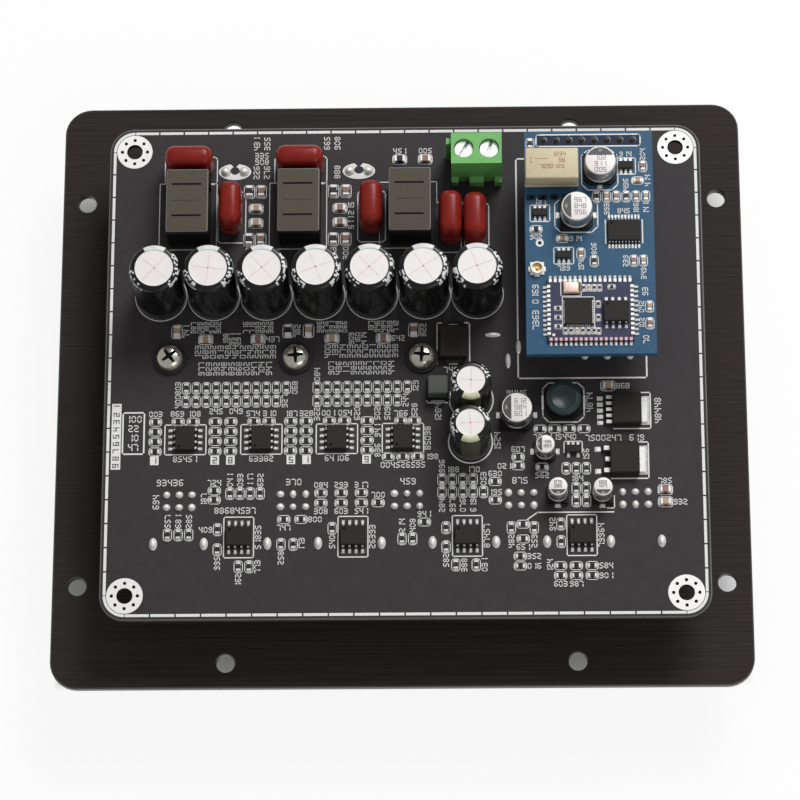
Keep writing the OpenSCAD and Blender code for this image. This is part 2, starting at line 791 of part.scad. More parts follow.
module wireless_board() {
    color([0.15, 0.3, 0.5])
        difference() {
            translate([wireless_at[0], wireless_at[1], wireless_z]) block(wireless_w, wireless_h, wireless_t);
            for (k = [0:header_n - 1])
                translate([wireless_at[0] + (k - (header_n - 1) / 2) * header_p, header_y, wireless_z - 1])
                    cylinder(d = 0.9, h = wireless_t + 2);
            translate([wireless_at[0] - wireless_w / 2 + 2.9, 21.6, wireless_z - 1])
                cylinder(d = 0.9, h = wireless_t + 2);
        }
}

module header_socket() {
    color([0.08, 0.08, 0.08])
        translate([wireless_at[0], header_y, top_z])
            difference() {
                union() {
                    block(header_n * header_p, 2.5, socket_h);
                    for (k = [0:header_n - 1])
                        translate([(k - (header_n - 1) / 2) * header_p, 0, -board_t])
                            cylinder(d = 0.8, h = board_t + 1);
                }
                for (k = [0:header_n - 1])
                    translate([(k - (header_n - 1) / 2) * header_p, 0, 1.6]) block(0.8, 0.8, socket_h);
            }
}

module header_pins() {
    color([0.1, 0.1, 0.1])
        translate([wireless_at[0], header_y, wireless_z - pin_strip_h])
            union() {
                block(header_n * header_p, 2.5, pin_strip_h);
                for (k = [0:header_n - 1])
                    translate([(k - (header_n - 1) / 2) * header_p, 0, -5.8]) {
                        translate([0, 0, 0]) block(0.64, 0.64, 6);
                        translate([0, 0, 6]) cylinder(d = 0.8, h = pin_strip_h + wireless_t + 0.4);
                    }
            }
}

module wireless_module() {
    color([0.12, 0.24, 0.42])
        translate([module_at[0], module_at[1], deck_z])
            difference() {
                block(module_size[0], module_size[1], module_t);
                for (k = [-7.5:7.5])
                    for (s = [-1, 1])
                        translate([k, s * module_size[1] / 2, -1]) cylinder(d = 0.5, h = 3, $fn = 16);
                for (k = [-4.5:4.5])
                    for (s = [-1, 1])
                        translate([s * module_size[0] / 2, k, -1]) cylinder(d = 0.5, h = 3, $fn = 16);
            }
}

module module_chips() {
    color([0.13, 0.13, 0.13])
        union() {
            translate([module_at[0] - 2.4, module_at[1] - 0.5, module_z]) block(5.4, 5.4, 0.9);
            translate([module_at[0] + 5, module_at[1] - 0.7, module_z])
                rotate(90) dual_package(4.2, 4.9, 1.4, 4, 1.27, 0.8, 0.42);
        }
}

module module_crystal() {
    color([0.85, 0.62, 0.55])
        translate([module_at[0] - 3.8, module_at[1] + 4.5, module_z])
            union() {
                block(3.2, 2.5, 0.3);
                translate([0, 0, 0.2]) linear_extrude(0.6) rounded(2.9, 2.2, 0.4);
            }
}

module converter_chip() {
    color([0.13, 0.13, 0.13])
        translate([wireless_at[0] + 6.8, 23.8, deck_z])
            rotate(90) dual_package(4.4, 6.5, 1, 10, 0.65, 1, 0.25);
}

module signal_relay() {
    color([0.88, 0.82, 0.64])
        translate([wireless_at[0] - wireless_w / 2 + 5.4, 36.5, deck_z])
            union() {
                for (sx = [-1, 1])
                    for (sy = [-1, 1])
                        translate([sx * 4.4, sy * 2.4, 0]) block(1.4, 1.4, 0.4);
                translate([0, 0, 0.3]) linear_extrude(4.9) rounded(10.6, 6.6, 0.3);
            }
}

module deck_capacitors() {
    color([0.75, 0.76, 0.78])
        union() {
            translate([wireless_at[0] + 2.2, 36.9, deck_z]) rotate(-90) surface_can(6.3, surface_h);
            translate([wireless_at[0] - 2.6, 27.3, deck_z]) surface_can(6.3, surface_h);
        }
}

module antenna_connector() {
    color([0.82, 0.68, 0.4])
        translate([wireless_at[0] - 10.5, 16.3, deck_z])
            union() {
                block(2.6, 2.6, 0.35);
                block(3.4, 1, 0.2);
                translate([0, -1.5, 0]) block(1, 0.8, 0.2);
                ring(2, 1.4, 1.2);
                cylinder(d = 0.5, h = 1);
            }
}

module deck_chips() {
    color([0.5, 0.44, 0.38])
        union() {
            translate([0, 0, deck_z]) chip_rows(deck_rows, chip_l, chip_w, chip_h + 0.1);
            translate([module_at[0], module_at[1], module_z]) chip_rows(module_rows, tiny_l, tiny_w, tiny_h);
        }
}

// Sockets that open through the panel

module power_jack() {
    color([0.08, 0.08, 0.08])
        translate([power_at[0], power_at[1], 0])
            union() {
                difference() {
                    union() {
                        block(power_case[0], power_case[1], board_z);
                        translate([0, 0, -panel_t - 1]) cylinder(d = power_nose_d, h = panel_t + 2);
                    }
                    translate([0, 0, -panel_t - 2]) cylinder(d = power_bore_d, h = panel_t + 11);
                }
                cylinder(d = power_pin_d, h = 9.5);
                for (p = power_pins)
                    translate([p[0], p[1], board_z - 0.4]) rotate(p[2]) block(2.4, 0.6, board_t + 0.4);
            }
}

module input_jack() {
    color([0.08, 0.08, 0.08])
        translate([input_at[0], input_at[1], 0])
            union() {
                difference() {
                    union() {
                        block(input_case[0], input_case[1], board_z);
                        translate([0, 0, -panel_t - 1]) cylinder(d = input_nose_d, h = panel_t + 2);
                    }
                    translate([0, 0, -panel_t - 2]) cylinder(d = input_bore_d, h = panel_t + 12);
                }
                for (x = input_pins)
                    translate([x, input_pin_y - input_at[1], board_z - 0.4])
                        cylinder(d = 1, h = board_t + 0.4);
            }
}

module speaker_sockets() {
    color([0.09, 0.09, 0.09])
        for (p = speaker_at)
            translate([p[0], p[1], 0])
                union() {
                    difference() {
                        union() {
                            block(socket_case[0], socket_case[1], socket_case_h);
                            translate([0, 0, -panel_t])
                                block(socket_case[0] - 1, socket_case[1] - 1, panel_t + 1);
                        }
                        translate([0, 0, -panel_t - 1]) block(socket_bore[0], socket_bore[1], panel_t + 9);
                    }
                    for (s = [-1, 1]) {
                        translate([s * 2.54, 0, 2.6]) block(1, 1, 6);
                        translate([s * speaker_pin, 0, socket_case_h - 0.4])
                            cylinder(d = 1.2, h = top_z - socket_case_h + 0.4);
                    }
                }
}

// Controls

module control_bodies() {
    color([0.6, 0.6, 0.58])
        for (i = [1:5])
            translate([ctl(i), control_y, 0])
                difference() {
                    union() {
                        translate([0, 0, -bush_len]) cylinder(d = bush_d, h = bush_len + 1);
                        block(2 * tab_x + 0.6, control_body_w + 0.8, 4.8);
                        block(control_body_w, control_body_w, control_body_h);
                        for (k = [0, 1]) {
                            z = k == 0 ? control_body_h - 3.4 : control_body_h - 6.6;
                            translate([-4.2, 0, z]) cube([8.4, pin_rows[k] + 0.8, 1.2]);
                            for (n = [-1:1])
                                translate([n * pin_x, pin_rows[k], z + 0.6])
                                    block(0.9, 0.45, top_z - z - 0.6);
                        }
                        for (s = [-1, 1])
                            translate([s * tab_x, 0, 4]) block(0.6, 2, top_z - 4);
                    }
                    translate([0, 0, -bush_len - 1]) cylinder(d = shaft_d + 2 * shaft_play, h = bush_len + 3);
                    translate([0, 0, 1.2]) cylinder(d = shaft_d + 1.9, h = 3.2);
                }
}

module control_washers() {
    color([0.75, 0.75, 0.75])
        for (i = [1:5])
            translate([ctl(i), control_y, -panel_t - washer_t]) ring(nut_af + 1, bush_d + 0.2, washer_t);
}

module control_nuts() {
    color([0.75, 0.75, 0.75])
        for (i = [1:5])
            translate([ctl(i), control_y, -panel_t - washer_t - nut_t])
                difference() {
                    cylinder(d = nut_af / cos(30), h = nut_t, $fn = 6);
                    translate([0, 0, -1]) cylinder(d = bush_d + 0.1, h = nut_t + 2);
                }
}

module control_shaft(i) {
    color([0.78, 0.78, 0.78])
        translate([ctl(i), control_y, 0])
            difference() {
                union() {
                    translate([0, 0, shaft_end]) cylinder(d = shaft_d, h = 1.6 - shaft_end);
                    translate([0, 0, 1.5]) cylinder(d = shaft_d + 1.2, h = 2.6);
                }
                translate([flat_x, -shaft_d, shaft_end - 1]) cube([shaft_d, 2 * shaft_d, 8]);
            }
}

module control_knob(i) {
    r = knob_r;
    front = knob_z - knob_h;
    color([0.09, 0.09, 0.095])
        translate([ctl(i), control_y, 0])
            difference() {
                rotate_extrude()
                    polygon([
                        [0, front], [r - 1.5, front], [r - 0.8, front + 0.7], [r - 0.8, front + 10],
                        [r, front + 10.8], [r, knob_z - 0.4], [r - 0.4, knob_z], [0, knob_z]
                    ]);
                translate([0, 0, knob_z - 4.2]) cylinder(d = nut_room, h = 8);
                difference() {
                    translate([0, 0, shaft_end]) cylinder(d = shaft_d + 0.04, h = knob_h);
                    translate([flat_x + 0.02, -shaft_d, shaft_end - 1]) cube([shaft_d, 2 * shaft_d, 8]);
                }
                translate([0, r - 2.4, front - 1]) block(0.9, 6, 1.6);
                for (a = [12:24:348])
                    rotate(a) translate([r - 0.4, 0, front + 1.4]) cylinder(d = 1.5, h = 7.6);
            }
}

// Solder fillets on the leads of the through-hole parts

module solder_joints() {
    color([0.8, 0.8, 0.8])
        union() {
            translate([0, 0, top_z]) {
                for (i = [1:5]) {
                    for (row = pin_rows)
                        for (k = [-1:1])
                            translate([ctl(i) + k * pin_x, control_y + row, 0]) joint(1.7, 0.8);
                    for (s = [-1, 1])
                        translate([ctl(i) + s * tab_x, control_y, 0]) scale([1, 1.9, 1]) joint(1.7, joint_h);
                }
                for (p = power_pins)
                    translate([power_at[0] + p[0], power_at[1] + p[1], 0]) rotate(p[2]) block(3, 1.3, 0.6);
                for (x = input_pins)
                    translate([input_at[0] + x, input_pin_y, 0]) joint(2, joint_h);
                for (p = speaker_at)
                    for (s = [-1, 1])
                        translate([p[0] + s * speaker_pin, p[1], 0]) joint(2.4, joint_h);
            }
            translate([0, 0, board_z])
                mirror([0, 0, 1]) {
                    for (i = [1:7])
                        for (s = [-1, 1])
                            translate([bulk_x(i), bulk_y + s * bulk_pin, 0]) joint(1.8, joint_h);
                    for (p = supply_at)
                        for (s = [-1, 1])
                            translate([p[0], p[1] + s * 1.75, 0]) joint(1.6, joint_h);
                    for (p = film_at)
                        for (s = [-1, 1])
                            translate([p[0] + s * film_pin * (1 - p[2]), p[1] + s * film_pin * p[2], 0])
                                joint(1.6, joint_h);
                    for (i = [1:3])
                        for (sx = [-1, 1])
                            for (sy = [-1, 1])
                                translate([ind_x(i) + sx * (inductor_w / 2 - 1.4),
                                    inductor_y + sy * (inductor_l / 2 - 2), 0]) joint(1.9, joint_h);
                    for (s = [-1, 1])
                        translate([terminal_x + s * terminal_pitch / 2, terminal_y, 0]) joint(2, 1);
                    for (k = [0:header_n - 1])
                        translate([wireless_at[0] + (k - (header_n - 1) / 2) * header_p, header_y, 0])
                            joint(1.6, 0.8);
                }
        }
}

front_panel();
main_board();
heat_spreader();
amplifier_chips();
spreader_screws();
spreader_washers();
output_inductor(1);  // output_inductor_1
output_inductor(2);  // output_inductor_2
output_inductor(3);  // output_inductor_3
film_capacitors();
bulk_capacitor(1);  // bulk_capacitor_1
bulk_capacitor(2);  // bulk_capacitor_2
bulk_capacitor(3);  // bulk_capacitor_3
bulk_capacitor(4);  // bulk_capacitor_4
bulk_capacitor(5);  // bulk_capacitor_5
bulk_capacitor(6);  // bulk_capacitor_6
bulk_capacitor(7);  // bulk_capacitor_7
supply_capacitors();
surface_capacitors();
buck_inductor();
choke_inductor();
voltage_regulator();
power_transistor();
input_diode();
op_amps();
small_transistors();
terminal_housing();
terminal_screws();
terminal_clamps();
chip_resistors();
chip_capacitors();
solder_joints();
wireless_board();
wireless_module();
module_chips();
module_crystal();
converter_chip();
signal_relay();
deck_capacitors();
antenna_connector();
header_socket();
header_pins();
deck_chips();
power_jack();
input_jack();
speaker_sockets();
control_bodies();
control_nuts();
control_washers();
control_shaft(1);  // control_shaft_1
control_shaft(2);  // control_shaft_2
control_shaft(3);  // control_shaft_3
control_shaft(4);  // control_shaft_4
control_shaft(5);  // control_shaft_5
control_knob(1);  // control_knob_1
control_knob(2);  // control_knob_2
control_knob(3);  // control_knob_3
control_knob(4);  // control_knob_4
control_knob(5);  // control_knob_5
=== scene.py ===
import functools
import json
import random
from math import acos, cos, pi, radians, sin

import bmesh
import bpy
from mathutils import Matrix, Vector


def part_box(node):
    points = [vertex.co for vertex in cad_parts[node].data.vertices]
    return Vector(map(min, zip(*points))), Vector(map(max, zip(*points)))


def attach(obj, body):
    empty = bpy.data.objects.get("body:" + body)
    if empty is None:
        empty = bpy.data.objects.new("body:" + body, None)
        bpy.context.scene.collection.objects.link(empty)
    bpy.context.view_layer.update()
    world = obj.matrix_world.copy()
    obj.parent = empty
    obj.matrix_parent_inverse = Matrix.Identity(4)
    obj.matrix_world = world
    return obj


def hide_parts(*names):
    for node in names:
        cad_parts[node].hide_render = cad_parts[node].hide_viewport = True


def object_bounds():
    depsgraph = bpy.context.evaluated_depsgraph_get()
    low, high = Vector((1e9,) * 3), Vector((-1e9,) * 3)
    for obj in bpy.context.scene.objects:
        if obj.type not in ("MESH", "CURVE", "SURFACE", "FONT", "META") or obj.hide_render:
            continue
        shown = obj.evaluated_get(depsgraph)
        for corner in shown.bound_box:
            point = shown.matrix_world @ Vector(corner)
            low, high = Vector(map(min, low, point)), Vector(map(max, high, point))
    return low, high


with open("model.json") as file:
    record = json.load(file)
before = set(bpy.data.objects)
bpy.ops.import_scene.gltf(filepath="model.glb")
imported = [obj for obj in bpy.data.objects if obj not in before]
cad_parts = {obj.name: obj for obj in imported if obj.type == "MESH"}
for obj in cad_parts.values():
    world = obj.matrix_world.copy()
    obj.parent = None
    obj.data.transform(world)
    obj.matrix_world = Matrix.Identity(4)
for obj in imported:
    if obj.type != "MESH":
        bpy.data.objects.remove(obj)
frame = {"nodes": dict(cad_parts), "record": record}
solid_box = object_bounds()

MM = 0.001
CHASSIS = "chassis"
SIDES = (-1, 1)
CORNERS = [(sx, sy) for sx in SIDES for sy in SIDES]
WELDS_PER_MM = 500
dice = random.Random(5)


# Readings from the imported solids, in mm

def box(node):
    """Lowest and highest corner of a solid."""
    lo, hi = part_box(node)
    return lo / MM, hi / MM


@functools.cache
def solids(node):
    """The boxes of a node's separate solids, in reading order from the top left."""
    mesh = frame["nodes"][node].data
    group = {}

    def root(key):
        while group[key] != key:
            group[key] = group[group[key]]
            key = group[key]
        return key

    keys = [tuple(round(c / MM * WELDS_PER_MM) for c in v.co) for v in mesh.vertices]
    for key in keys:
        group[key] = key
    for face in mesh.polygons:
        first = root(keys[face.vertices[0]])
        for v in face.vertices[1:]:
            group[root(keys[v])] = first
    boxes = {}
    for key, vert in zip(keys, mesh.vertices):
        p = vert.co / MM
        lo, hi = boxes.setdefault(root(key), (p.copy(), p.copy()))
        for i in range(3):
            lo[i] = min(lo[i], p[i])
            hi[i] = max(hi[i], p[i])
    return sorted(boxes.values(), key=lambda b: (-round(b[0].y, 1), round(b[0].x, 1)))


def middle(lo, hi):
    return (lo + hi) / 2


def middles(node):
    return [middle(*b) for b in solids(node)]


def long_axis(lo, hi):
    """0 for a box that is longer along X, and 1 along Y."""
    return 0 if hi.x - lo.x > hi.y - lo.y else 1


def grown(lo, hi, left, low=None, right=None, high=None):
    """The corners of a box seen from above, moved outwards. A side that isn't given moves like the one
    opposite, and the lower one like the left."""
    low = left if low is None else low
    right = left if right is None else right
    high = low if high is None else high
    return (lo.x - left, lo.y - low), (hi.x + right, hi.y + high)


def on_circle(at, r, a):
    """The point of a circle at an angle in radians."""
    return at[0] + r * cos(a), at[1] + r * sin(a)


def heading(a):
    """Unit vectors along an angle in radians and across it."""
    along = Vector((cos(a), sin(a)))
    return along, Vector((-along.y, along.x))


def bolt_places(name):
    """The hole centres and the hole radius of one of the record's bolt patterns."""
    mount = next(m for m in frame["record"]["mounts"] if m["name"] == name)
    dims, (x, y, _) = mount["dims"], mount["pos_m"]
    dx, dy = dims["spacing_x_mm"] / 2, dims["spacing_y_mm"] / 2
    return [(x / MM + sx * dx, y / MM + sy * dy) for sx, sy in CORNERS], dims["hole_r_mm"]


PANEL_LO, PANEL_HI = box("front_panel")
BOARD_LO, BOARD_HI = box("main_board")
DECK_LO, DECK_HI = box("wireless_board")
TOP, UNDER, DECK = BOARD_HI.z, BOARD_LO.z, DECK_HI.z
CONTROLS = [Vector(j["pos_m"]) / MM for j in frame["record"]["behaviour"]["joints"]]
BULK = [f"bulk_capacitor_{i}" for i in range(1, 8)]
INDUCTORS = [f"output_inductor_{i}" for i in range(1, 4)]


# Materials

def tone(r, g, b):
    """A colour as it is seen on screen, 0 to 255, as the linear values that shaders take."""
    parts = [c / 255 for c in (r, g, b)]
    return tuple(c / 12.92 if c <= 0.04045 else ((c + 0.055) / 1.055) ** 2.4 for c in parts)


def plug(mat, node, *values, **named):
    """Gives a shader node's inputs, in order or by name, their values or other nodes' outputs."""
    for key, value in [*enumerate(values), *named.items()]:
        socket = node.inputs[key.replace("_", " ") if isinstance(key, str) else key]
        if isinstance(value, bpy.types.NodeSocket):
            mat.node_tree.links.new(value, socket)
        else:
            socket.default_value = value
    return node


def add_node(mat, kind, *values, **named):
    return plug(mat, mat.node_tree.nodes.new("ShaderNode" + kind), *values, **named)


def surface(name, colour, rough, metal=0.0, grain=2500, vary=0.12, bump=0.05, stretch=(1, 1, 1), gloss=0.0,
            spread=0.08, shine=0.5):
    """A surface whose colour, gloss and relief follow a fine grain; grain counts per metre."""
    mat = bpy.data.materials.new(name)
    mat.use_nodes = True
    place = add_node(mat, "TexCoord").outputs["Object"]
    pull = add_node(mat, "Mapping", Vector=place, Scale=stretch).outputs["Vector"]
    noise = add_node(mat, "TexNoise", Vector=pull, Scale=grain, Detail=5.0).outputs["Fac"]
    shades = add_node(mat, "ValToRGB", Fac=noise)
    for stop, at, share in zip(shades.color_ramp.elements, (0.3, 0.7), (1 - vary, 1 + vary)):
        stop.position = at
        stop.color = [min(1.0, c * share) for c in tone(*colour)] + [1.0]
    polish = add_node(mat, "MapRange", Value=noise, To_Min=max(0.02, rough - spread),
                      To_Max=min(1.0, rough + spread))
    relief = add_node(mat, "Bump", Strength=bump, Distance=0.0002, Height=noise)
    plug(mat, mat.node_tree.nodes["Principled BSDF"], Base_Color=shades.outputs["Color"],
         Roughness=polish.outputs["Result"], Normal=relief.outputs["Normal"], Metallic=metal,
         Coat_Weight=gloss, Specular_IOR_Level=shine)
    return mat


BRUSHED = surface("brushed_panel", (52, 47, 46), 0.55, grain=2600, vary=0.28, bump=0.2, stretch=(0.012, 1, 1),
                  shine=0.03)
PANEL_EDGE = surface("panel_edge", (84, 80, 79), 0.4, metal=0.6, grain=3000, stretch=(0.05, 1, 1))
MASK = surface("board_mask", (55, 52, 54), 0.55, grain=350, vary=0.1, bump=0.03, shine=0.15)
BOARD_EDGE = surface("board_edge", (42, 38, 34), 0.8, vary=0.25, bump=0.2, shine=0.2)
# Painted highlight: a lighter copy of the board for its cut rims, as if lit from the side.
BOARD_RIM_HIGHLIGHT = surface("board_rim_highlight", (112, 108, 105), 0.6, vary=0.15, shine=0.2)
INK = surface("white_print", (226, 226, 224), 0.7, grain=3000, vary=0.08, shine=0.2)
PRINT_DIGIT = surface("print_digit", (104, 106, 106), 0.7, grain=3000, vary=0.1, shine=0.2)
RING = surface("plated_ring", (238, 237, 233), 0.45, metal=0.2, vary=0.06)
TIN = surface("tinned", (234, 234, 231), 0.35, metal=0.3, vary=0.08, bump=0.1)
# Painted shade: a dark copy of the tin, for lead slopes, diode leads, solder lands and the plug-in board's
# pin joints, where the metal faces away from the light or mirrors dark surroundings.
SHADED_TIN = surface("shaded_tin", (74, 73, 72), 0.4, metal=0.6)
SOLDER = surface("solder", (238, 238, 235), 0.2, metal=0.85, grain=1500, vary=0.08, bump=0.06)
CHIP = surface("moulded_chip", (38, 35, 33), 0.6, grain=6000, vary=0.2, bump=0.12, shine=0.2)
DIODE = surface("diode_case", (42, 36, 35), 0.5, grain=4000, vary=0.15, shine=0.2)
GLAZE = surface("glazed_chip", (36, 34, 34), 0.4, grain=4000, shine=0.3)
CERAMIC = surface("tan_ceramic", (172, 148, 120), 0.5, grain=3000, vary=0.18)
BROWN = surface("brown_ceramic", (142, 104, 90), 0.5, grain=3000, vary=0.18)
SLEEVE = surface("sleeve", (19, 18, 18), 0.28, grain=700, vary=0.1, bump=0.008, gloss=0.1, spread=0.03,
                 shine=0.3)
STRIPE = surface("sleeve_stripe", (210, 213, 212), 0.4, grain=900)
# One stripe ink in two copies: painted light on the up-facing rim, painted shade on the side below it.
LIT_STRIPE = surface("stripe_lit_rim", (206, 208, 172), 0.45, grain=900)
SHADED_STRIPE = surface("stripe_shaded_side", (64, 64, 44), 0.45, grain=900)
CAN = surface("drawn_can", (190, 188, 185), 0.3, metal=1.0, grain=900, vary=0.04, bump=0.0, spread=0.02)
CAN_TOP = surface("can_top", (228, 224, 221), 0.5, metal=0.1, grain=700, vary=0.03)
CAN_MARK = surface("can_mark", (146, 144, 143), 0.6, shine=0.2)
CAN_DARK = surface("can_segment", (66, 66, 64), 0.35, grain=1500, vary=0.2)
# Painted shade: the vent scores are raised lines a little darker than the top, in place of the shade in their
# grooves.
SCORE_SHADE = surface("can_score_shade", (222, 207, 206), 0.55, grain=2000)
FERRITE = surface("ferrite", (80, 75, 66), 0.75, vary=0.16, bump=0.15, shine=0.2)
# Lit and shaded copies of the ferrite: a painted highlight for the top slab's cut edges and painted shade for
# the slabs' sides.
FERRITE_HIGHLIGHT = surface("ferrite_highlight", (124, 120, 108), 0.7, vary=0.15, bump=0.1, shine=0.2)
FERRITE_SHADE = surface("ferrite_shade", (36, 33, 29), 0.8, vary=0.2, bump=0.2, shine=0.15)
FERRITE_LINE = surface("ferrite_line", (64, 60, 52), 0.8, shine=0.1)
WINDING = surface("dark_winding", (26, 23, 22), 0.45, grain=1500, vary=0.3, bump=0.4, stretch=(1, 1, 4),
                  shine=0.3)
# Near black for dark walls, and painted shade: small holes, a chip's dimple, grooves on inductor tops, screw
# recesses and the tops of the plug-in board's pin joints.
BLACK_AND_SHADE = surface("black_and_painted_shade", (20, 19, 18), 0.8, grain=2000, shine=0.1)
DIPPED = surface("dipped_red", (122, 30, 23), 0.28, grain=500, vary=0.1, bump=0.03, spread=0.04, shine=0.2)
GREEN = surface("green_moulding", (100, 172, 88), 0.4, grain=700, vary=0.06, bump=0.03)
TEAL = surface("teal_enamel", (43, 59, 61), 0.3, grain=900, vary=0.15, gloss=0.08, shine=0.3)
CHOKE = surface("choke_moulding", (84, 87, 84), 0.6, grain=2200, vary=0.15, bump=0.15, shine=0.2)
FOOT = surface("black_foot", (22, 22, 22), 0.5, shine=0.2)
BLUE = surface("blue_mask", (38, 80, 110), 0.4, grain=600, vary=0.1, bump=0.03, shine=0.25)
# Navy for the dark inlays, and painted shade in the plug-in board's hole.
NAVY_AND_SHADE = surface("navy_inlay_and_hole_shade", (26, 36, 58), 0.5, grain=1500, shine=0.2)
MODULE = surface("module_mask", (50, 52, 80), 0.4, grain=900, shine=0.25)
PINK_PAD = surface("bare_pad", (206, 160, 158), 0.4, metal=0.3)
CREAM = surface("cream_case", (199, 186, 155), 0.45, grain=900, vary=0.05, shine=0.3)
COPPER = surface("crystal_can", (232, 202, 190), 0.4, metal=0.3, grain=1500)
GOLD = surface("gold_plate", (214, 186, 128), 0.3, metal=0.7, grain=1500)
SMOOTH = {"grain": 900, "bump": 0.01, "spread": 0.03}
SCREW = surface("plated_screw", (216, 211, 199), 0.22, metal=0.8, vary=0.08, **SMOOTH)
NICKEL = surface("nickel_screw", (232, 235, 231), 0.35, metal=0.4, vary=0.04, **SMOOTH)
WASHER = surface("dark_washer", (34, 33, 32), 0.5, grain=1800, vary=0.2, shine=0.25)
SOCKET = surface("socket_moulding", (26, 26, 26), 0.45, shine=0.3)
NYLON = surface("pale_nylon", (226, 222, 212), 0.45, grain=1800, vary=0.05)
MILLED = surface("milled_bar", (186, 188, 192), 0.35, metal=0.9, grain=1800, bump=0.15, stretch=(0.1, 1, 1))
PLATED = surface("plated_case", (160, 160, 156), 0.35, metal=0.9, grain=1200)
KNOB = surface("knob_moulding", (30, 30, 32), 0.45, grain=3500, vary=0.15, bump=0.12, shine=0.3)
LASER = surface("case_marking", (168, 122, 96), 0.6, grain=3000)
FLOOR = surface("pale_floor", (240, 240, 240), 0.9, grain=60, vary=0.01, bump=0.0, shine=0.1)


# Mesh building, in mm

class Shape:
    """Closed forms, each with its material, that become one object."""

    def __init__(self, name, body=CHASSIS):
        self.name, self.body = name, body
        self.verts, self.faces, self.looks, self.mats = [], [], [], {}

    def add(self, verts, faces, mat):
        """mat is one material, or a list with one for each face."""
        start = len(self.verts)
        self.verts += [Vector(v) for v in verts]
        self.faces += [[start + i for i in face] for face in faces]
        for look in mat if isinstance(mat, list) else [mat] * len(faces):
            self.looks.append(self.mats.setdefault(look, len(self.mats)))

    def take(self, bm, mats):
        """Adds a bmesh whose faces number their materials."""
        bm.verts.index_update()
        self.add([v.co for v in bm.verts], [[v.index for v in f.verts] for f in bm.faces],
                 [mats[f.material_index] for f in bm.faces])
        bm.free()

    def block(self, lo, hi, mat, edge=0.0, steps=1, side=None, rim=None):
        """A box whose edges are cut off, or rounded in several steps, by edge. Its sides and rims may look
        different."""
        bm = bmesh.new()
        bmesh.ops.create_cube(bm, size=1.0)
        for v in bm.verts:
            v.co = [lo[i] + (v.co[i] + 0.5) * (hi[i] - lo[i]) for i in range(3)]
        if edge:
            bmesh.ops.bevel(bm, geom=bm.edges[:], offset=edge, segments=steps, profile=0.5, affect="EDGES")
        bm.normal_update()
        for face in bm.faces:
            lean = abs(face.normal.z)
            face.material_index = 0 if lean > 0.99 else 1 if lean < 0.1 else 2
        self.take(bm, [mat, side or mat, rim or mat])

    def slab(self, lo, hi, z0, z1, mat, *cut, inset=(0, 0)):
        """A box between two heights, whose sides stand inside those of another."""
        x, y = inset
        self.block((lo.x + x, lo.y + y, z0), (hi.x - x, hi.y - y, z1), mat, *cut)

    def prism(self, points, z0, z1, mat):
        """A flat polygon between two heights."""
        n = len(points)
        verts = [(x, y, z) for z in (z0, z1) for x, y in points]
        faces = [list(range(n)), list(range(n, 2 * n))]
        faces += [[i, (i + 1) % n, n + (i + 1) % n, n + i] for i in range(n)]
        self.add(verts, faces, mat)

    def lathe(self, at, profile, mat, parts, wide=(1.0, 1.0)):
        """A round form about the vertical through at. profile runs from axis to axis as (radius, height), and
        mat may be a function of the profile step and the angle in degrees."""
        verts, rings, faces, mats = [], [], [], []
        for r, z in profile:
            count = 1 if r == 0 else parts
            rings.append([len(verts) + k for k in range(count)])
            for k in range(count):
                a = 2 * pi * k / parts
                x, y = wide[0] * r * cos(a), wide[1] * r * sin(a)
                verts.append((at[0] + x, at[1] + y, at[2] + z))
        for step, (low, high) in enumerate(zip(rings, rings[1:])):
            for k in range(parts):
                ends = [ring[j % len(ring)] for ring, j in ((low, k), (low, k + 1), (high, k + 1), (high, k))]
                faces.append(list(dict.fromkeys(ends)))
                mats.append(mat(step, 360 * (k + 0.5) / parts) if callable(mat) else mat)
        self.add(verts, faces, mats)

    def build(self, *nodes, slot, sharp=32):
        """Makes the object, in the place of the named solids."""
        mesh = bpy.data.meshes.new(self.name)
        mesh.from_pydata([v * MM for v in self.verts], [], self.faces)
        for mat in self.mats:
            mesh.materials.append(mat)
        mesh.polygons.foreach_set("material_index", self.looks)
        bm = bmesh.new()
        bm.from_mesh(mesh)
        bmesh.ops.recalc_face_normals(bm, faces=bm.faces[:])
        bm.to_mesh(mesh)
        bm.free()
        mesh.polygons.foreach_set("use_smooth", [True] * len(mesh.polygons))
        mesh.set_sharp_from_angle(angle=radians(sharp))
        piece = bpy.data.objects.new(self.name, mesh)
        bpy.context.scene.collection.objects.link(piece)
        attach(piece, self.body)
        if nodes:
            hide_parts(*nodes)


def make(name, node, slot, form, each=False, sharp=32, **values):
    """Makes the object in the place of a node; form shapes it from the node's box or from each solid's."""
    shape = Shape(name)
    for lo, hi in solids(node) if each else [box(node)]:
        form(shape, lo, hi, **values)
    shape.build(node, slot=slot, sharp=sharp)


def rounded_loop(mid, w, l, r, grow=-1, steps=8):
    """An outline with rounded corners, as a function of how far its edge is cut back."""
    def points(inset):
        hw, hl, rr = w / 2 + grow * inset, l / 2 + grow * inset, max(r + grow * inset, 0.01)
        out = []
        for n, (sx, sy) in enumerate(((1, 1), (-1, 1), (-1, -1), (1, -1))):
            corner = (mid[0] + sx * (hw - rr), mid[1] + sy * (hl - rr))
            out += [on_circle(corner, rr, radians(90 * n + 90 * k / steps)) for k in range(steps + 1)]
        return out
    return points


def hole_loop(mid, r, parts=32):
    """The outline of a round hole, as a function of how far its edge is cut back."""
    def points(inset):
        return [on_circle(mid, r + inset, 2 * pi * k / parts) for k in range(parts)]
    return points


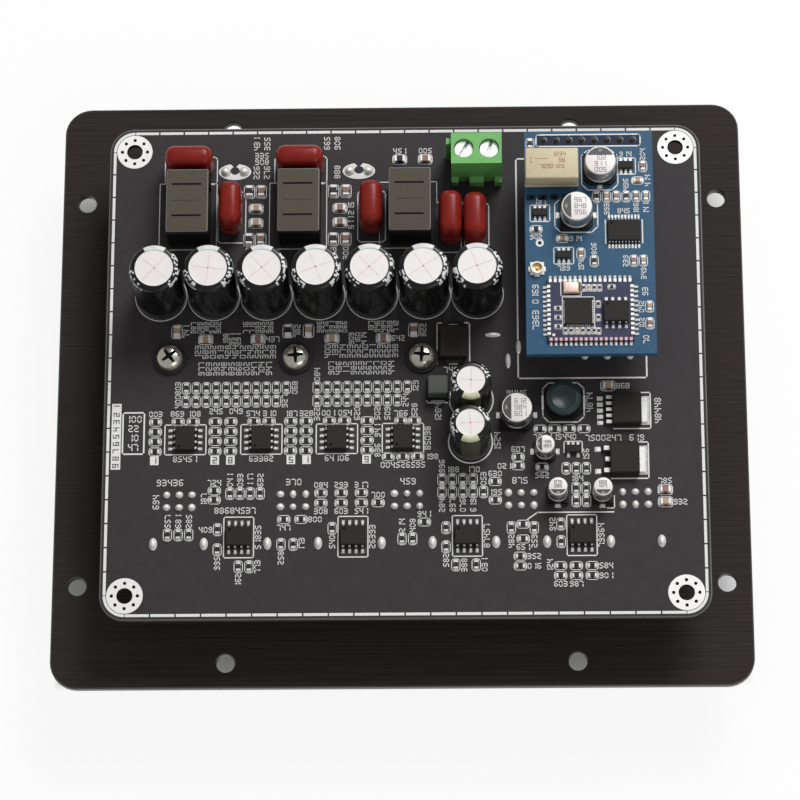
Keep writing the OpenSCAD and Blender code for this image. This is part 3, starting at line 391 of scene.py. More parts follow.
def plate(shape, loops, z0, z1, edge, face, side, rim):
    """A flat plate with an outline, holes and a cut edge."""
    bm = bmesh.new()
    levels = [(z0, edge), (z0 + edge, 0.0), (z1 - edge, 0.0), (z1, edge)]
    ends = {0: [], len(levels) - 1: []}
    for loop in loops:
        rings = [[bm.verts.new((x, y, z)) for x, y in loop(inset)] for z, inset in levels]
        n = len(rings[0])
        for k, (a, b) in enumerate(zip(rings, rings[1:])):
            for i in range(n):
                made = bm.faces.new((a[i], a[(i + 1) % n], b[(i + 1) % n], b[i]))
                made.material_index = 1 if k == 1 else 2
        for k in ends:
            ends[k] += [bm.edges.get((rings[k][i], rings[k][(i + 1) % n])) for i in range(n)]
    for edges in ends.values():
        bmesh.ops.triangle_fill(bm, edges=edges, use_beauty=True)
    shape.take(bm, [face, side, rim])


# Print on the boards

BARS = {"a": ((0, 1), (1, 1)), "b": ((1, 1), (1, 0.5)), "c": ((1, 0.5), (1, 0)), "d": ((0, 0), (1, 0)),
        "e": ((0, 0.5), (0, 0)), "f": ((0, 1), (0, 0.5)), "g": ((0, 0.5), (1, 0.5))}
DIGITS = ["abcdef", "bc", "abged", "abgcd", "fgbc", "afgcd", "afgecd", "abc", "abcdefg", "abcdfg"]
DIGIT_STEP, DIGIT_W = 0.95, 0.58
INK_T, SINK = 0.025, 0.01


def any_number(places=3):
    return "".join(str(dice.randrange(10)) for _ in range(places))


def number_half(places, size, turn):
    """Half the width and height of the room that a number takes."""
    along, across = size * (DIGIT_STEP * places - 0.25) / 2, size * 0.6
    return (across, along) if turn else (along, across)


class Print(Shape):
    """Thin marks on a flat face at height z."""

    def __init__(self, name, z, mat=INK):
        super().__init__(name)
        self.z, self.mat, self.taken = z, mat, []

    def reserve(self, lo, hi, gap=0.12):
        """Keeps later numbers off a place."""
        self.taken.append((lo[0] - gap, lo[1] - gap, hi[0] + gap, hi[1] + gap))

    def fill(self, points):
        self.prism(points, self.z - SINK, self.z + INK_T, self.mat)

    def bar(self, p, q, width):
        p, q = Vector(p).to_2d(), Vector(q).to_2d()
        along = (q - p).normalized() * width / 2
        across = Vector((-along.y, along.x))
        self.fill([p - along - across, q + along - across, q + along + across, p - along + across])

    def line(self, points, width=0.16, closed=False):
        for p, q in zip(points, points[1:] + points[:1] if closed else points[1:]):
            self.bar(p, q, width)
            self.reserve([min(p[i], q[i]) for i in (0, 1)], [max(p[i], q[i]) for i in (0, 1)])

    def frame(self, lo, hi, width=0.16, cut=0.0):
        """A rectangle, with its corners cut off where cut isn't 0."""
        (x0, y0), (x1, y1) = lo[:2], hi[:2]
        points = [(x0, y0), (x1, y0), (x1, y1), (x0, y1)]
        if cut:
            points = [(x0 + cut, y0), (x1 - cut, y0), (x1, y0 + cut), (x1, y1 - cut), (x1 - cut, y1),
                      (x0 + cut, y1), (x0, y1 - cut), (x0, y0 + cut)]
        self.line(points, width, closed=True)

    def band(self, outer, inner):
        """The area between two lines."""
        for corners in zip(outer, outer[1:], inner[1:], inner):
            self.fill(corners)

    def arc(self, at, r, width, start=0, stop=360, parts=48):
        """A ring or part of one."""
        turns = [radians(start + (stop - start) * k / parts) for k in range(parts + 1)]
        self.band(*[[on_circle(at, r + side, a) for a in turns] for side in (width / 2, -width / 2)])

    def dot(self, at, r):
        self.fill([on_circle(at, r, k * pi / 6) for k in range(12)])

    def patch(self, lo, hi):
        self.fill([(lo[0], lo[1]), (hi[0], lo[1]), (hi[0], hi[1]), (lo[0], hi[1])])

    def number(self, text, at, size, turn=0, width=0.18):
        """Plain digits centred at a point."""
        step, a = DIGIT_STEP * size, radians(turn)
        for n, digit in enumerate(text):
            left = (n - (len(text) - 1) / 2) * step - DIGIT_W / 2 * size
            for bar in DIGITS[int(digit)]:
                spots = []
                for u, v in BARS[bar]:
                    x, y = left + DIGIT_W * size * u, (v - 0.5) * size
                    spots.append((at[0] + x * cos(a) - y * sin(a), at[1] + x * sin(a) + y * cos(a)))
                self.bar(*spots, width)


class Legend(Print):
    """White print on a board, whose numbers keep clear of parts, lines and each other."""

    def __init__(self, name, lo, hi, edge):
        super().__init__(name, hi.z)
        self.lo, self.hi, self.edge = lo, hi, edge

    def write(self, text, spot, size, turn):
        """Prints a number and says so, if there is room for it."""
        w, h = number_half(len(text), size, turn)
        x0, y0, x1, y1 = spot[0] - w, spot[1] - h, spot[0] + w, spot[1] + h
        inside = (x0 > self.lo.x + self.edge and x1 < self.hi.x - self.edge
                  and y0 > self.lo.y + self.edge and y1 < self.hi.y - self.edge)
        if not inside or any(x1 > a and x0 < c and y1 > b and y0 < d for a, b, c, d in self.taken):
            return False
        self.reserve((x0, y0), (x1, y1))
        self.number(text, spot, size, turn)
        return True

    def jot(self, x, y, places=3, size=1.05, turn=0):
        """Prints any number, if there is room for it."""
        self.write(any_number(places), (x, y), size, turn)

    def label(self, lo, hi, places=3, size=1.0):
        """Prints any number beside a part, on the first side with room for it."""
        mid, half, text, gap = middle(lo, hi), (hi - lo) / 2, any_number(places), 0.65
        for turn in (90, 0) if half.y > half.x else (0, 90):
            w, h = number_half(places, size, turn)
            for sx, sy in ((0, 1), (1, 0), (0, -1), (-1, 0)):
                spot = (mid.x + sx * (half.x + w + gap), mid.y + sy * (half.y + h + gap))
                if self.write(text, spot, size, turn):
                    return

    def bubble(self, lo, hi, gap=0.42):
        """A thin outline round a small chip."""
        self.frame(*grown(lo, hi, gap), 0.15, 0.35)
        self.reserve(lo, hi, gap + 0.1)


# Panel and main board

def panel(shape, lo, hi):
    """A brushed plate with its screw holes and the openings for the controls and sockets."""
    size, corner, bush, lip, edge = hi - lo, 5.5, 3.6, 0.8, 0.25
    loops = [rounded_loop(middle(lo, hi), size.x, size.y, corner)]
    for name in ("panel_side_holes", "panel_edge_holes"):
        places, r = bolt_places(name)
        loops += [hole_loop(p, r) for p in places]
    loops += [hole_loop(p, bush) for p in CONTROLS]
    loops += [hole_loop(middle(*box(node)), r) for node, r in (("power_jack", 4.1), ("input_jack", 3.1))]
    for a, b in solids("speaker_sockets"):
        span = b - a
        loops.append(rounded_loop(middle(a, b), span.x - lip, span.y - lip, 0.2, grow=1, steps=2))
    plate(shape, loops, lo.z, hi.z, edge, BRUSHED, PANEL_EDGE, PANEL_EDGE)


def board(shape, lo, hi):
    size, corner, screw_r, edge = hi - lo, 5, 1.6, 0.24
    places, r = bolt_places("board_corner_holes")
    loops = [rounded_loop(middle(lo, hi), size.x, size.y, corner)]
    loops += [hole_loop(p, r) for p in places]
    loops += [hole_loop(p, screw_r, 20) for p in middles("spreader_screws")]
    # The rims carry the painted highlight.
    plate(shape, loops, lo.z, hi.z, edge, MASK, BOARD_EDGE, BOARD_RIM_HIGHLIGHT)


CORNER_R = 3.6


def make_corner_rings():
    """Plated rings round the board's corner holes, with their small through-holes drawn as dots of painted
    shade.
    """
    places, r = bolt_places("board_corner_holes")
    via_at, via_r = 2.55, 0.34
    ring, vias = Print("corner_rings", TOP, RING), Print("corner_vias", TOP + INK_T, BLACK_AND_SHADE)
    for p in places:
        ring.arc(p, (CORNER_R + r) / 2, CORNER_R - r)
        for k in range(8):
            vias.dot(on_circle(p, via_at, radians(45 * k)), via_r)
    ring.build(slot="solder")
    vias.build(slot="board_black")


# Shared forms

def dress(mat, *nodes):
    """Gives carried-over solids their material."""
    for node in nodes:
        mesh = frame["nodes"][node].data
        mesh.materials.clear()
        mesh.materials.append(mat)


def legs(shape, spots, r):
    """Round leads through the main board."""
    rise = TOP - UNDER + 0.4
    for x, y in spots:
        shape.lathe((x, y, UNDER), [(0, 0), (r, 0), (r, rise), (0, rise)], TIN, 12)


def beside(mid, out, off):
    """A spot that is off to the side of the axis out."""
    return mid.x + off * abs(out[1]), mid.y + off * abs(out[0])


def strip(shape, at, out, near, far, half, z0, z1, mat, edge=0.0):
    """A box that runs from near to far along the axis out, half as wide to each side."""
    side = Vector((abs(out[1]), abs(out[0]))) * half
    a, b = Vector(at[:2]) + Vector(out) * near, Vector(at[:2]) + Vector(out) * far
    lo = (min(a.x, b.x) - side.x, min(a.y, b.y) - side.y, z0)
    hi = (max(a.x, b.x) + side.x, max(a.y, b.y) + side.y, z1)
    shape.block(lo, hi, mat, edge)


def land(shape, at, out, near, far, half, base):
    """A flat film of solder on a board."""
    strip(shape, at, out, near, far, half, base - SINK, base + 0.06, SOLDER)


def ramp(shape, at, out, near, far, half, z_near, z_far, thick, mat):
    """A flat bar that runs along the axis out from one height to another."""
    side = Vector((abs(out[1]), abs(out[0]))) * half
    verts = []
    for run, z in ((near, z_near), (far, z_far)):
        spot = Vector(at[:2]) + Vector(out) * run
        verts += [(spot.x + s * side.x, spot.y + s * side.y, z + rise) for s in SIDES for rise in (0, thick)]
    sides = [(0, 1, 3, 2), (4, 5, 7, 6), (0, 1, 5, 4), (2, 3, 7, 6), (0, 2, 6, 4), (1, 3, 7, 5)]
    shape.add(verts, sides, mat)


def gull_lead(shape, at, out, w, reach, z, base, bend=0.3):
    """A bent lead on its tinned pad, from the body's edge outwards; bend is the share before its knee."""
    knee, ankle, thick, edge = reach * bend, reach * (bend + 0.22), 0.2, 0.04
    strip(shape, at, out, -0.1, knee, w / 2, base + z, base + z + thick, TIN, edge)
    # The sloping middle is painted shade, in the dark copy of the tin.
    ramp(shape, at, out, knee - 0.06, ankle + 0.06, w / 2 - 0.01, base + z, base, 0.18, SHADED_TIN)
    strip(shape, at, out, ankle, reach, w / 2, base, base + thick, TIN, edge)
    land(shape, at, out, ankle + 0.05, reach + 0.35, w / 2 + 0.08, base)


def dual_package(shape, lo, hi, base, count, pitch, lead_w, reach, axis=None):
    """A moulded chip with a dimple, and leads on both sides along axis or else its longer axis."""
    mid = middle(lo, hi)
    axis = long_axis(lo, hi) if axis is None else axis
    a, b = lo.copy(), hi.copy()
    a[axis] += reach
    b[axis] -= reach
    a.z = base + 0.1
    shape.block(a, b, CHIP, 0.12)
    for s in SIDES:
        out = (s, 0) if axis == 0 else (0, s)
        for k in range(count):
            at = Vector((mid.x, mid.y))
            at[axis] += s * (b[axis] - a[axis]) / 2
            at[1 - axis] += (k - (count - 1) / 2) * pitch
            gull_lead(shape, at, out, lead_w, reach, (hi.z - base) * 0.4, base)
    # The dimple is a dark disc: painted shade in its hollow.
    inset, dimple = 0.75, [(0, -0.02), (0.32, -0.02), (0.3, 0.006), (0, 0.006)]
    corner = Vector((a.x + inset, b.y - inset if axis else a.y + inset))
    shape.lathe((corner.x, corner.y, hi.z), dimple, BLACK_AND_SHADE, 16)


def small_chip(shape, lo, hi, mat):
    """A surface mounted chip with its two plated ends on their lands."""
    axis = long_axis(lo, hi)
    cap = (hi[axis] - lo[axis]) * 0.22
    inner_lo, inner_hi = lo.copy(), hi.copy()
    inner_lo[axis] += cap - 0.02
    inner_hi[axis] -= cap - 0.02
    shape.block(inner_lo, inner_hi, mat, 0.04)
    grow = Vector((0.1, 0.1, 0))
    grow[axis] = 0.32
    for s in (0, 1):
        a, b = lo.copy(), hi.copy()
        if s:
            a[axis] = hi[axis] - cap
        else:
            b[axis] = lo[axis] + cap
        shape.block(a, b, TIN, 0.05)
        shape.block(a - grow - Vector((0, 0, SINK)), Vector((b.x, b.y, lo.z + 0.09)) + grow, SOLDER, 0.04)


# Capacitors

def sleeve_profile(r, h, groove, disc):
    """A sleeved can's outline, with its crimped groove, rolled shoulder and sunk metal disc."""
    return [(0, 0), (r - 0.3, 0), (r, 0.3), (r, groove), (r - 0.3, groove + 0.4), (r - 0.3, groove + 0.7),
            (r, groove + 1.1), (r, h - 1.1), (r - 0.08, h - 0.65), (r - 0.3, h - 0.25), (r - 0.65, h - 0.04),
            (r - 0.95, h), (disc * r, h), ((disc - 0.02) * r, h - 0.14), (0, h - 0.14)]


def sleeved_can(shape, lo, hi, stripe, bands, leg, disc=0.76):
    """A sleeved capacitor with a scored metal top, printed marks by its rim and a stripe, whose two materials
    are those at the rim and below it; on the supply capacitors they are a painted lit and a painted shaded
    copy of one ink."""
    mid, r, h = middle(lo, hi), (hi.x - lo.x) / 2, hi.z - TOP
    profile, turns = sleeve_profile(r, h, 1.6, disc), 64
    top_step = len(profile) - 3
    shoulder = top_step - 5
    stripe_half, sectors, filled = 27, ((-140, -50), (95, 150)), 0.42
    cells = {(turn, row) for turn in range(turns) for row in range(4) if dice.random() < filled}

    def look(step, angle):
        if step >= top_step:
            return CAN_TOP
        off = (angle - stripe + 180) % 360 - 180
        if abs(off) < stripe_half and 2 < step < top_step:
            return bands[0] if step > shoulder else bands[1]
        printed = any(a < off < b for a, b in sectors) and shoulder <= step < top_step - 1
        return STRIPE if printed and (int(angle * turns / 360), step - shoulder) in cells else SLEEVE

    shape.lathe((mid.x, mid.y, TOP), profile, look, turns)
    away = radians(stripe)
    legs(shape, [on_circle(mid, s * leg, away) for s in SIDES], 0.4)
    plane, twist, share = hi.z - 0.14, dice.uniform(-30, 30), disc - 0.1
    # The scores are darker lines: painted shade of grooves.
    for turn in (20, 110):
        along, across = heading(radians(turn + stripe + twist))
        across *= 0.11
        p, q = mid.to_2d() - along * share * r, mid.to_2d() + along * share * r
        shape.prism([p - across, q - across, q + across, p + across], plane - 0.02, plane + 0.012, SCORE_SHADE)


def can_segment(flat, away, side, r, chord):
    """The outline of the part of a disc that lies beyond a chord, in the direction away."""
    half, turns = acos(chord), 14
    return [flat + r * (away * cos(a) + side * sin(a))
            for a in (-half + 2 * half * k / turns for k in range(turns + 1))]


def surface_can(shape, lo, hi, base, mark):
    """A silver can on a black foot; mark is the direction of its dark segment in degrees."""
    mid, h = middle(lo, hi), hi.z - base
    foot = min(hi.x - lo.x, hi.y - lo.y) / 2
    r, cut = foot - 0.15, 0.36
    away, side = heading(radians(mark))
    flat = mid.to_2d()
    corners = ((1, -1), (1 - cut, -1), (-1 + cut, -1), (-1, -1 + cut), (-1, 1 - cut), (-1 + cut, 1), (1, 1))
    shape.prism([flat + away * foot * u + side * foot * v for u, v in corners], base, base + 0.9, FOOT)
    for s in SIDES:
        out = (round(away.x) * s, round(away.y) * s)
        strip(shape, mid, out, foot - 0.3, foot + 0.45, 0.4, base, base + 0.2, TIN, 0.03)
        land(shape, mid, out, foot - 0.3, foot + 0.75, 0.6, base)
    profile = [(0, 0.8), (r - 0.2, 0.8), (r, 1.0), (r, 1.3), (r - 0.28, 1.6), (r - 0.28, 1.8), (r, 2.1),
               (r, h - 0.5), (r - 0.06, h - 0.25), (r - 0.22, h - 0.08), (r - 0.38, h - 0.04), (0, h - 0.04)]
    lid = len(profile) - 3
    shape.lathe((mid.x, mid.y, base), profile, lambda step, _: CAN_TOP if step >= lid else CAN, 48)
    shape.prism(can_segment(flat, away, side, r - 0.4, 0.4), hi.z - 0.06, hi.z - 0.02, CAN_DARK)
    spot = flat + away * r * 0.66
    shape.prism([spot + away * u * 0.24 + side * v * 0.36 for u, v in ((-1, -1), (1, -1), (1, 1), (-1, 1))],
                hi.z - 0.05, hi.z - 0.01, CAN_MARK)
    return flat - away * r * 0.22, r


def make_surface_capacitors():
    for node, name, base, turns in (("surface_capacitors", "surface_cans", TOP, (180, 180, 270, 270)),
                                    ("deck_capacitors", "deck_cans", DECK, (90, 180))):
        shape = Shape(name)
        for (lo, hi), mark in zip(solids(node), turns):
            spot, r = surface_can(shape, lo, hi, base, mark)
            numbers = Print(f"can_number_{name}_{round(lo.x)}", hi.z - 0.04, CAN_MARK)
            rows = 3 if r > 2.5 else 2
            for row in range(rows):
                at = (spot.x, spot.y + (0.5 * (rows - 1) - row) * r * 0.42)
                numbers.number(any_number(), at, r * 0.28, width=0.13)
            numbers.build(slot="can_silver")
        shape.build(node, slot="can_silver")


def film_capacitor(shape, lo, hi):
    """A dipped body on two legs, with a drip where each leaves it."""
    axis, drip = long_axis(lo, hi), [(0, 0), (0.45, 0), (0.7, 1.2), (0.7, 2.2), (0, 2.2)]
    shape.slab(lo, hi, TOP + 0.2, hi.z, DIPPED, min(hi.x - lo.x, hi.y - lo.y) * 0.42, 6)
    for s in SIDES:
        pin, neck = middle(lo, hi).to_2d(), middle(lo, hi).to_2d()
        pin[axis] += s * 3.75
        neck[axis] += s * 1.9
        legs(shape, [pin], 0.35)
        shape.lathe((neck.x, neck.y, TOP), drip, DIPPED, 16)


# Inductors

def output_inductor(shape, lo, hi):
    """Two ferrite slabs with dark walls and stacked turns between them, and lines along the top; the slabs'
    sides are painted shade and the top slab's cut edges a painted highlight.
    """
    wall, slab, gap, turns = 2.2, 2.0, 0.03, 7
    mid, floor, roof = middle(lo, hi), TOP + slab, hi.z - slab
    shape.slab(lo, hi, TOP, TOP + 0.7, FOOT, 0.1, inset=(0.2, 0.2))
    shape.slab(lo, hi, TOP + 0.6, floor, FERRITE_SHADE, 0.15)
    shape.slab(lo, hi, roof, hi.z, FERRITE, 0.2, 1, FERRITE_SHADE, FERRITE_HIGHLIGHT)
    for y in (lo.y, hi.y - wall):
        low, high = (lo.x + gap, y + gap, floor - 0.1), (hi.x - gap, y + wall - gap, roof + 0.1)
        shape.block(low, high, BLACK_AND_SHADE, 0.1)
    rise = (roof - TOP - slab) / turns
    for k in range(turns):
        z = floor + k * rise
        shape.slab(lo, hi, z, z + rise, WINDING, 0.24, 2, inset=(0.6, wall - 0.2))
    # The two outer lines are painted shade of grooves in the top; the middle one is a fainter line.
    for y, thin, mat in ((-0.24, 0.2, BLACK_AND_SHADE), (0.0, 0.09, FERRITE_LINE), (0.26, 0.2, BLACK_AND_SHADE)):
        at = mid.y + y * (hi.y - lo.y)
        shape.block((lo.x + 1.1, at - thin, hi.z - 0.3), (hi.x - 1.4, at + thin, hi.z + 0.004), mat)
    legs(shape, [(mid.x + sx * ((hi.x - lo.x) / 2 - 1.4), mid.y + sy * ((hi.y - lo.y) / 2 - 2))
                 for sx, sy in CORNERS], 0.5)


def cut_square(mid, half, cut):
    """A square with its corners cut off."""
    corners = ((-1, -1, 1), (-1, -1, 0), (1, -1, 0), (1, -1, 1), (1, 1, 1), (1, 1, 0), (-1, 1, 0), (-1, 1, 1))
    return [(mid.x + sx * (half - cut * (1 - u)), mid.y + sy * (half - cut * u)) for sx, sy, u in corners]


def drum_inductor(shape, lo, hi):
    """A round coil on a square foot."""
    mid, h = middle(lo, hi), hi.z - TOP
    shape.prism(cut_square(mid, (hi.x - lo.x) / 2, 2.2), TOP, TOP + 1.0, FOOT)
    for s in SIDES:
        strip(shape, mid, (s, 0), 2.8, 4.4, 1.5, TOP - SINK, TOP + 0.3, SOLDER, 0.08)
    drum = [(0, 0.9), (3.1, 0.9), (3.1, 2.5), (3.5, 2.6), (3.5, 3.2), (3.42, 3.38), (3.2, 3.5), (2.5, h),
            (2.35, h - 0.08), (0, h - 0.08)]
    shape.lathe((mid.x, mid.y, TOP), drum, TEAL, 56)


def choke(shape, lo, hi):
    shape.slab(lo, hi, lo.z, TOP + 0.6, FOOT, 0.08)
    shape.slab(lo, hi, TOP + 0.5, hi.z, CHOKE, 0.45, 3, inset=(0.3, 0.3))
    for s in SIDES:
        strip(shape, middle(lo, hi), (0, s), 1.6, 2.5, 1.4, TOP - SINK, TOP + 0.2, SOLDER, 0.05)


# Chips, solder and screws

def tab_package(shape, lo, hi, count, pitch, lead_w, skip=None):
    """A power package with a wide tab towards +X and its leads towards -X; the lead skip is cut short."""
    tab, length, lead_z = 1.2, 5.8, 0.9
    mid_y, back = (lo.y + hi.y) / 2, hi.x - tab
    front = back - length
    shape.block((front, lo.y, TOP + 0.05), (back, hi.y, hi.z), CHIP, 0.22)
    shape.block((back - 0.2, mid_y - 2.6, TOP), (hi.x, mid_y + 2.6, TOP + 0.6), TIN, 0.1)
    shape.block((back - 3.0, mid_y - 3.0, TOP - SINK), (hi.x + 0.45, mid_y + 3.0, TOP + 0.08), SOLDER, 0.03)
    for k in range(count):
        at = (front, mid_y + (k - (count - 1) / 2) * pitch)
        if k == skip:
            strip(shape, at, (-1, 0), -0.1, 0.9, lead_w / 2, TOP + lead_z, TOP + 1.1, TIN, 0.03)
        else:
            gull_lead(shape, at, (-1, 0), lead_w, 2.6, lead_z, TOP, bend=0.45)


def diode(shape, lo, hi):
    mid = middle(lo, hi)
    shape.slab(lo, hi, TOP + 0.1, hi.z, DIODE, 0.2, inset=(0, 0.75))
    for s in SIDES:
        # Both leads are painted shade, in the dark copy of the tin.
        strip(shape, mid, (0, s), 3.1, 4.05, 1.5, TOP, TOP + 0.4, SHADED_TIN, 0.06)
        strip(shape, mid, (0, s), 3.9, 4.25, 0.9, TOP - SINK, TOP + 0.07, SOLDER)


def small_package(shape, lo, hi):
    """A small chip with three leads to a side, or two on one side if it is on the main board."""
    mid, base = middle(lo, hi), lo.z
    shape.slab(lo, hi, base + 0.1, hi.z, CHIP, 0.1, inset=(0, 0.65))
    for s in SIDES:
        for k in (-1, 0, 1) if base > TOP + 1 or s > 0 else SIDES:
            at = (mid.x + k * 0.95, mid.y + s * 0.75)
            strip(shape, at, (0, s), -0.1, 0.62, 0.2, base, base + 0.3, TIN, 0.03)
            land(shape, at, (0, s), 0.1, 0.9, 0.3, base)


def chip_look(node, n, boxes):
    """Resistors are black, of two capacitors side by side the left one is dark, and the rest alternate."""
    if node == "chip_resistors" or (node == "deck_chips" and n % 3 == 0):
        return GLAZE
    if node == "deck_chips" and boxes[n][0].z > DECK + 0.3:
        return CERAMIC if n % 4 == 1 else GLAZE
    mid = middle(*boxes[n])
    steps = [middle(*other) - mid for other in boxes]
    if node == "chip_capacitors" and any(1 < s.x < 5.5 and abs(s.y) < 0.3 for s in steps):
        return GLAZE
    return BROWN if n % 2 else CERAMIC


def make_small_chips():
    for node, name, slot in (("chip_resistors", "resistor_chips", "resistor_black"),
                             ("chip_capacitors", "capacitor_chips", "chip_tan"),
                             ("deck_chips", "deck_passives", "chip_tan")):
        shape, boxes = Shape(name), solids(node)
        for n, (lo, hi) in enumerate(boxes):
            small_chip(shape, lo, hi, chip_look(node, n, boxes))
        shape.build(node, slot=slot)


def solder_joint(shape, lo, hi, wetting):
    """A wetted fillet on a tinned land, with bright flanks if it is round; the land is painted shade in the
    dark copy of the tin.
    """
    rise = [(0, 0), (1, 0), (0.86, 0.2), (0.66, 0.5), (0.5, 0.84), (0.34, 0.96), (0, 1)]
    pad = [(0, -SINK), (1.06, -SINK), (1.06, 0.03), (0, 0.03)]
    mid, wide = middle(lo, hi), Vector(((hi.x - lo.x) / 2, (hi.y - lo.y) / 2))
    slot = max(wide) > 1.4 * min(wide)
    oval = any((mid - s).to_2d().length < 2.5 for s in middles("speaker_sockets"))
    if slot:
        power = (mid - middle(*box("power_jack"))).to_2d().length < 9
        along, across = (1.05, 0.8) if power else (0.8, 0.95)
        wide[0 if wide.x > wide.y else 1] *= along
        wide[0 if wide.x < wide.y else 1] *= across
    elif oval:
        wide *= 0.8
    else:
        wide = Vector([w * wetting.uniform(0.82, 1.0) for w in wide])
    up = lo.z > UNDER + 0.1
    base, tall = (lo.z, hi.z - lo.z) if up else (hi.z, lo.z - hi.z)
    flank = RING if slot or oval else SOLDER
    shape.lathe((mid.x, mid.y, base), [(r, z * tall) for r, z in rise],
                lambda step, _: flank if step < 2 else RING, 24, wide)
    shape.lathe((mid.x, mid.y, base), [(r, z if up else -z) for r, z in pad], SHADED_TIN, 24, wide)


def screw(shape, lo, hi):
    """A cross-head screw with a flat topped head, whose cross recess is a raised dark cross of painted shade.
    """
    seat, mid, r, flat = box("spreader_washers")[1].z, middle(lo, hi), (hi.x - lo.x) / 2, hi.z - 0.02
    rise = hi.z - seat
    head = [(0, lo.z), (1.3, lo.z), (1.5, lo.z + 0.3), (1.5, seat), (r, seat), (r, seat + 0.35 * rise),
            (0.93 * r, seat + 0.62 * rise), (0.76 * r, seat + 0.85 * rise), (0.52 * r, flat), (0, flat)]
    shape.lathe((mid.x, mid.y, 0), head, SCREW, 48)
    along, across = heading(radians(dice.uniform(0, 90)))
    long, thin = 0.62 * r, 0.15 * r
    cross = [(long, -thin * 0.6), (long, thin * 0.6), (thin, thin)]
    points = []
    for _ in range(4):
        points += [mid.to_2d() + along * u + across * v for u, v in cross]
        along, across = across, -along
    shape.prism(points, hi.z - 0.25, hi.z, BLACK_AND_SHADE)


# Wireless board

def header_spots():
    """The eight pins of the plug-in board's strip."""
    lo, hi = box("header_pins")
    mid, pitch = middle(lo, hi), (hi.x - lo.x) / 8
    return [(mid.x + (k - 3.5) * pitch, mid.y) for k in range(8)]


def wireless_board(shape, lo, hi):
    """A board with the soldered ends of its pin strip; the joints are painted dark, a painted reflection of
    their dark surroundings.
    """
    shape.block(lo, hi, BLUE, 0.06)
    joint = [(0, -SINK), (0.75, -SINK), (0.75, 0.05), (0.5, 0.12), (0.36, 0.36), (0, 0.4)]
    for spot in header_spots():
        shape.lathe((*spot, DECK), joint, lambda step, _: SHADED_TIN if step < 3 else BLACK_AND_SHADE, 20)


def module_board(shape, lo, hi):
    """A small board with a row of soldered pads along each side."""
    mid, half = middle(lo, hi), (hi - lo) / 2
    shape.block(lo, hi, MODULE, 0.05)
    rows = (((0, 1), half.y, 17), ((0, -1), half.y, 17), ((1, 0), half.x, 11), ((-1, 0), half.x, 11))
    for out, reach, count in rows:
        for k in range(count):
            at = beside(mid, out, (k - (count - 1) / 2) * 0.98)
            pad = PINK_PAD if out == (0, -1) else TIN
            strip(shape, at, out, reach - 0.62, reach + 0.02, 0.28, hi.z - 0.02, hi.z + 0.03, pad)
            strip(shape, at, out, reach - 0.05, reach + 0.95, 0.3, lo.z - SINK, lo.z + 0.3, SOLDER, 0.12)


def square_package(shape, lo, hi):
    """A flat leadless chip with a row of lands along each side."""
    mid, half = middle(lo, hi), (hi.x - lo.x) / 2
    shape.slab(lo, hi, lo.z + 0.05, hi.z, CHIP, 0.06)
    for out in ((1, 0), (-1, 0), (0, 1), (0, -1)):
        for k in range(11):
            at = beside(mid, out, (k - 5) * 0.44)
            strip(shape, at, out, half - 0.3, half + 0.25, 0.12, lo.z, lo.z + 0.2, TIN)


def module_package(shape, lo, hi):
    if hi.z - lo.z < 1:
        square_package(shape, lo, hi)
    else:
        dual_package(shape, lo, hi, lo.z, count=4, pitch=1.27, lead_w=0.42, reach=0.8, axis=1)


def crystal(shape, lo, hi):
    shape.slab(lo, hi, lo.z, lo.z + 0.35, GOLD, 0.1)
    shape.slab(lo, hi, lo.z + 0.2, hi.z, COPPER, 0.22, 3, inset=(0.15, 0.15))


def antenna_socket(shape, lo, hi):
    """A small round contact in a pale square base."""
    mid, half, rise = middle(lo, hi), (hi - lo) / 2, hi.z - lo.z
    shape.block((lo.x + 0.3, lo.y + 0.35, lo.z), (hi.x - 0.3, hi.y - 0.2, lo.z + 0.32 * rise), NYLON, 0.08)
    for out, reach in (((1, 0), half.x), ((-1, 0), half.x), ((0, -1), half.y)):
        strip(shape, mid, out, reach - 0.6, reach, 0.5, lo.z, lo.z + 0.15, TIN, 0.03)
    wall = 0.8 * min(half.x, half.y)
    cup = [(0, 0.3), (wall, 0.3), (wall, 0.9 * rise), (0.92 * wall, rise), (0.78 * wall, rise),
           (0.74 * wall, 0.5 * rise), (0.25 * wall, 0.45 * rise), (0.2 * wall, 0.85 * rise), (0, 0.85 * rise)]
    shape.lathe((mid.x, mid.y, lo.z), cup, lambda step, _: GOLD if step > 3 else RING, 32)


def relay(shape, lo, hi):
    """A cream case on four feet."""
    mid, half = middle(lo, hi), 0.7
    for sx, sy in CORNERS:
        x, y = mid.x + sx * 4.4, mid.y + sy * 2.4
        shape.block((x - half, y - half, DECK), (x + half, y + half, DECK + 0.4), TIN)
    shape.slab(lo, hi, DECK + 0.3, DECK + 1.1, CREAM, 0.12)
    shape.slab(lo, hi, DECK + 1.0, hi.z, CREAM, 0.35, 3, inset=(0.05, 0.05))


def make_relay_marks():
    """Plain numbers and lines on the relay's top."""
    lo, hi = box("signal_relay")
    mid = middle(lo, hi)
    marks = Print("relay_marks", hi.z, LASER)
    for row, (text, x) in enumerate((("1234", 1.4), ("56", 2.0), ("7890123", 0.0))):
        marks.number(text, (mid.x + x, mid.y + 1.9 - row * 1.3), 0.75, width=0.12)
    left, low = mid.x - 4.2, mid.y + 0.1
    marks.line([(left + 0.35, low + 1.0), (left, low + 1.0), (left, low), (left + 0.35, low)], 0.12)
    marks.line([(left + 0.8, low + 0.8), (left + 3.4, low + 0.8)], 0.1)
    marks.build(slot="relay_cream")


# Control knobs

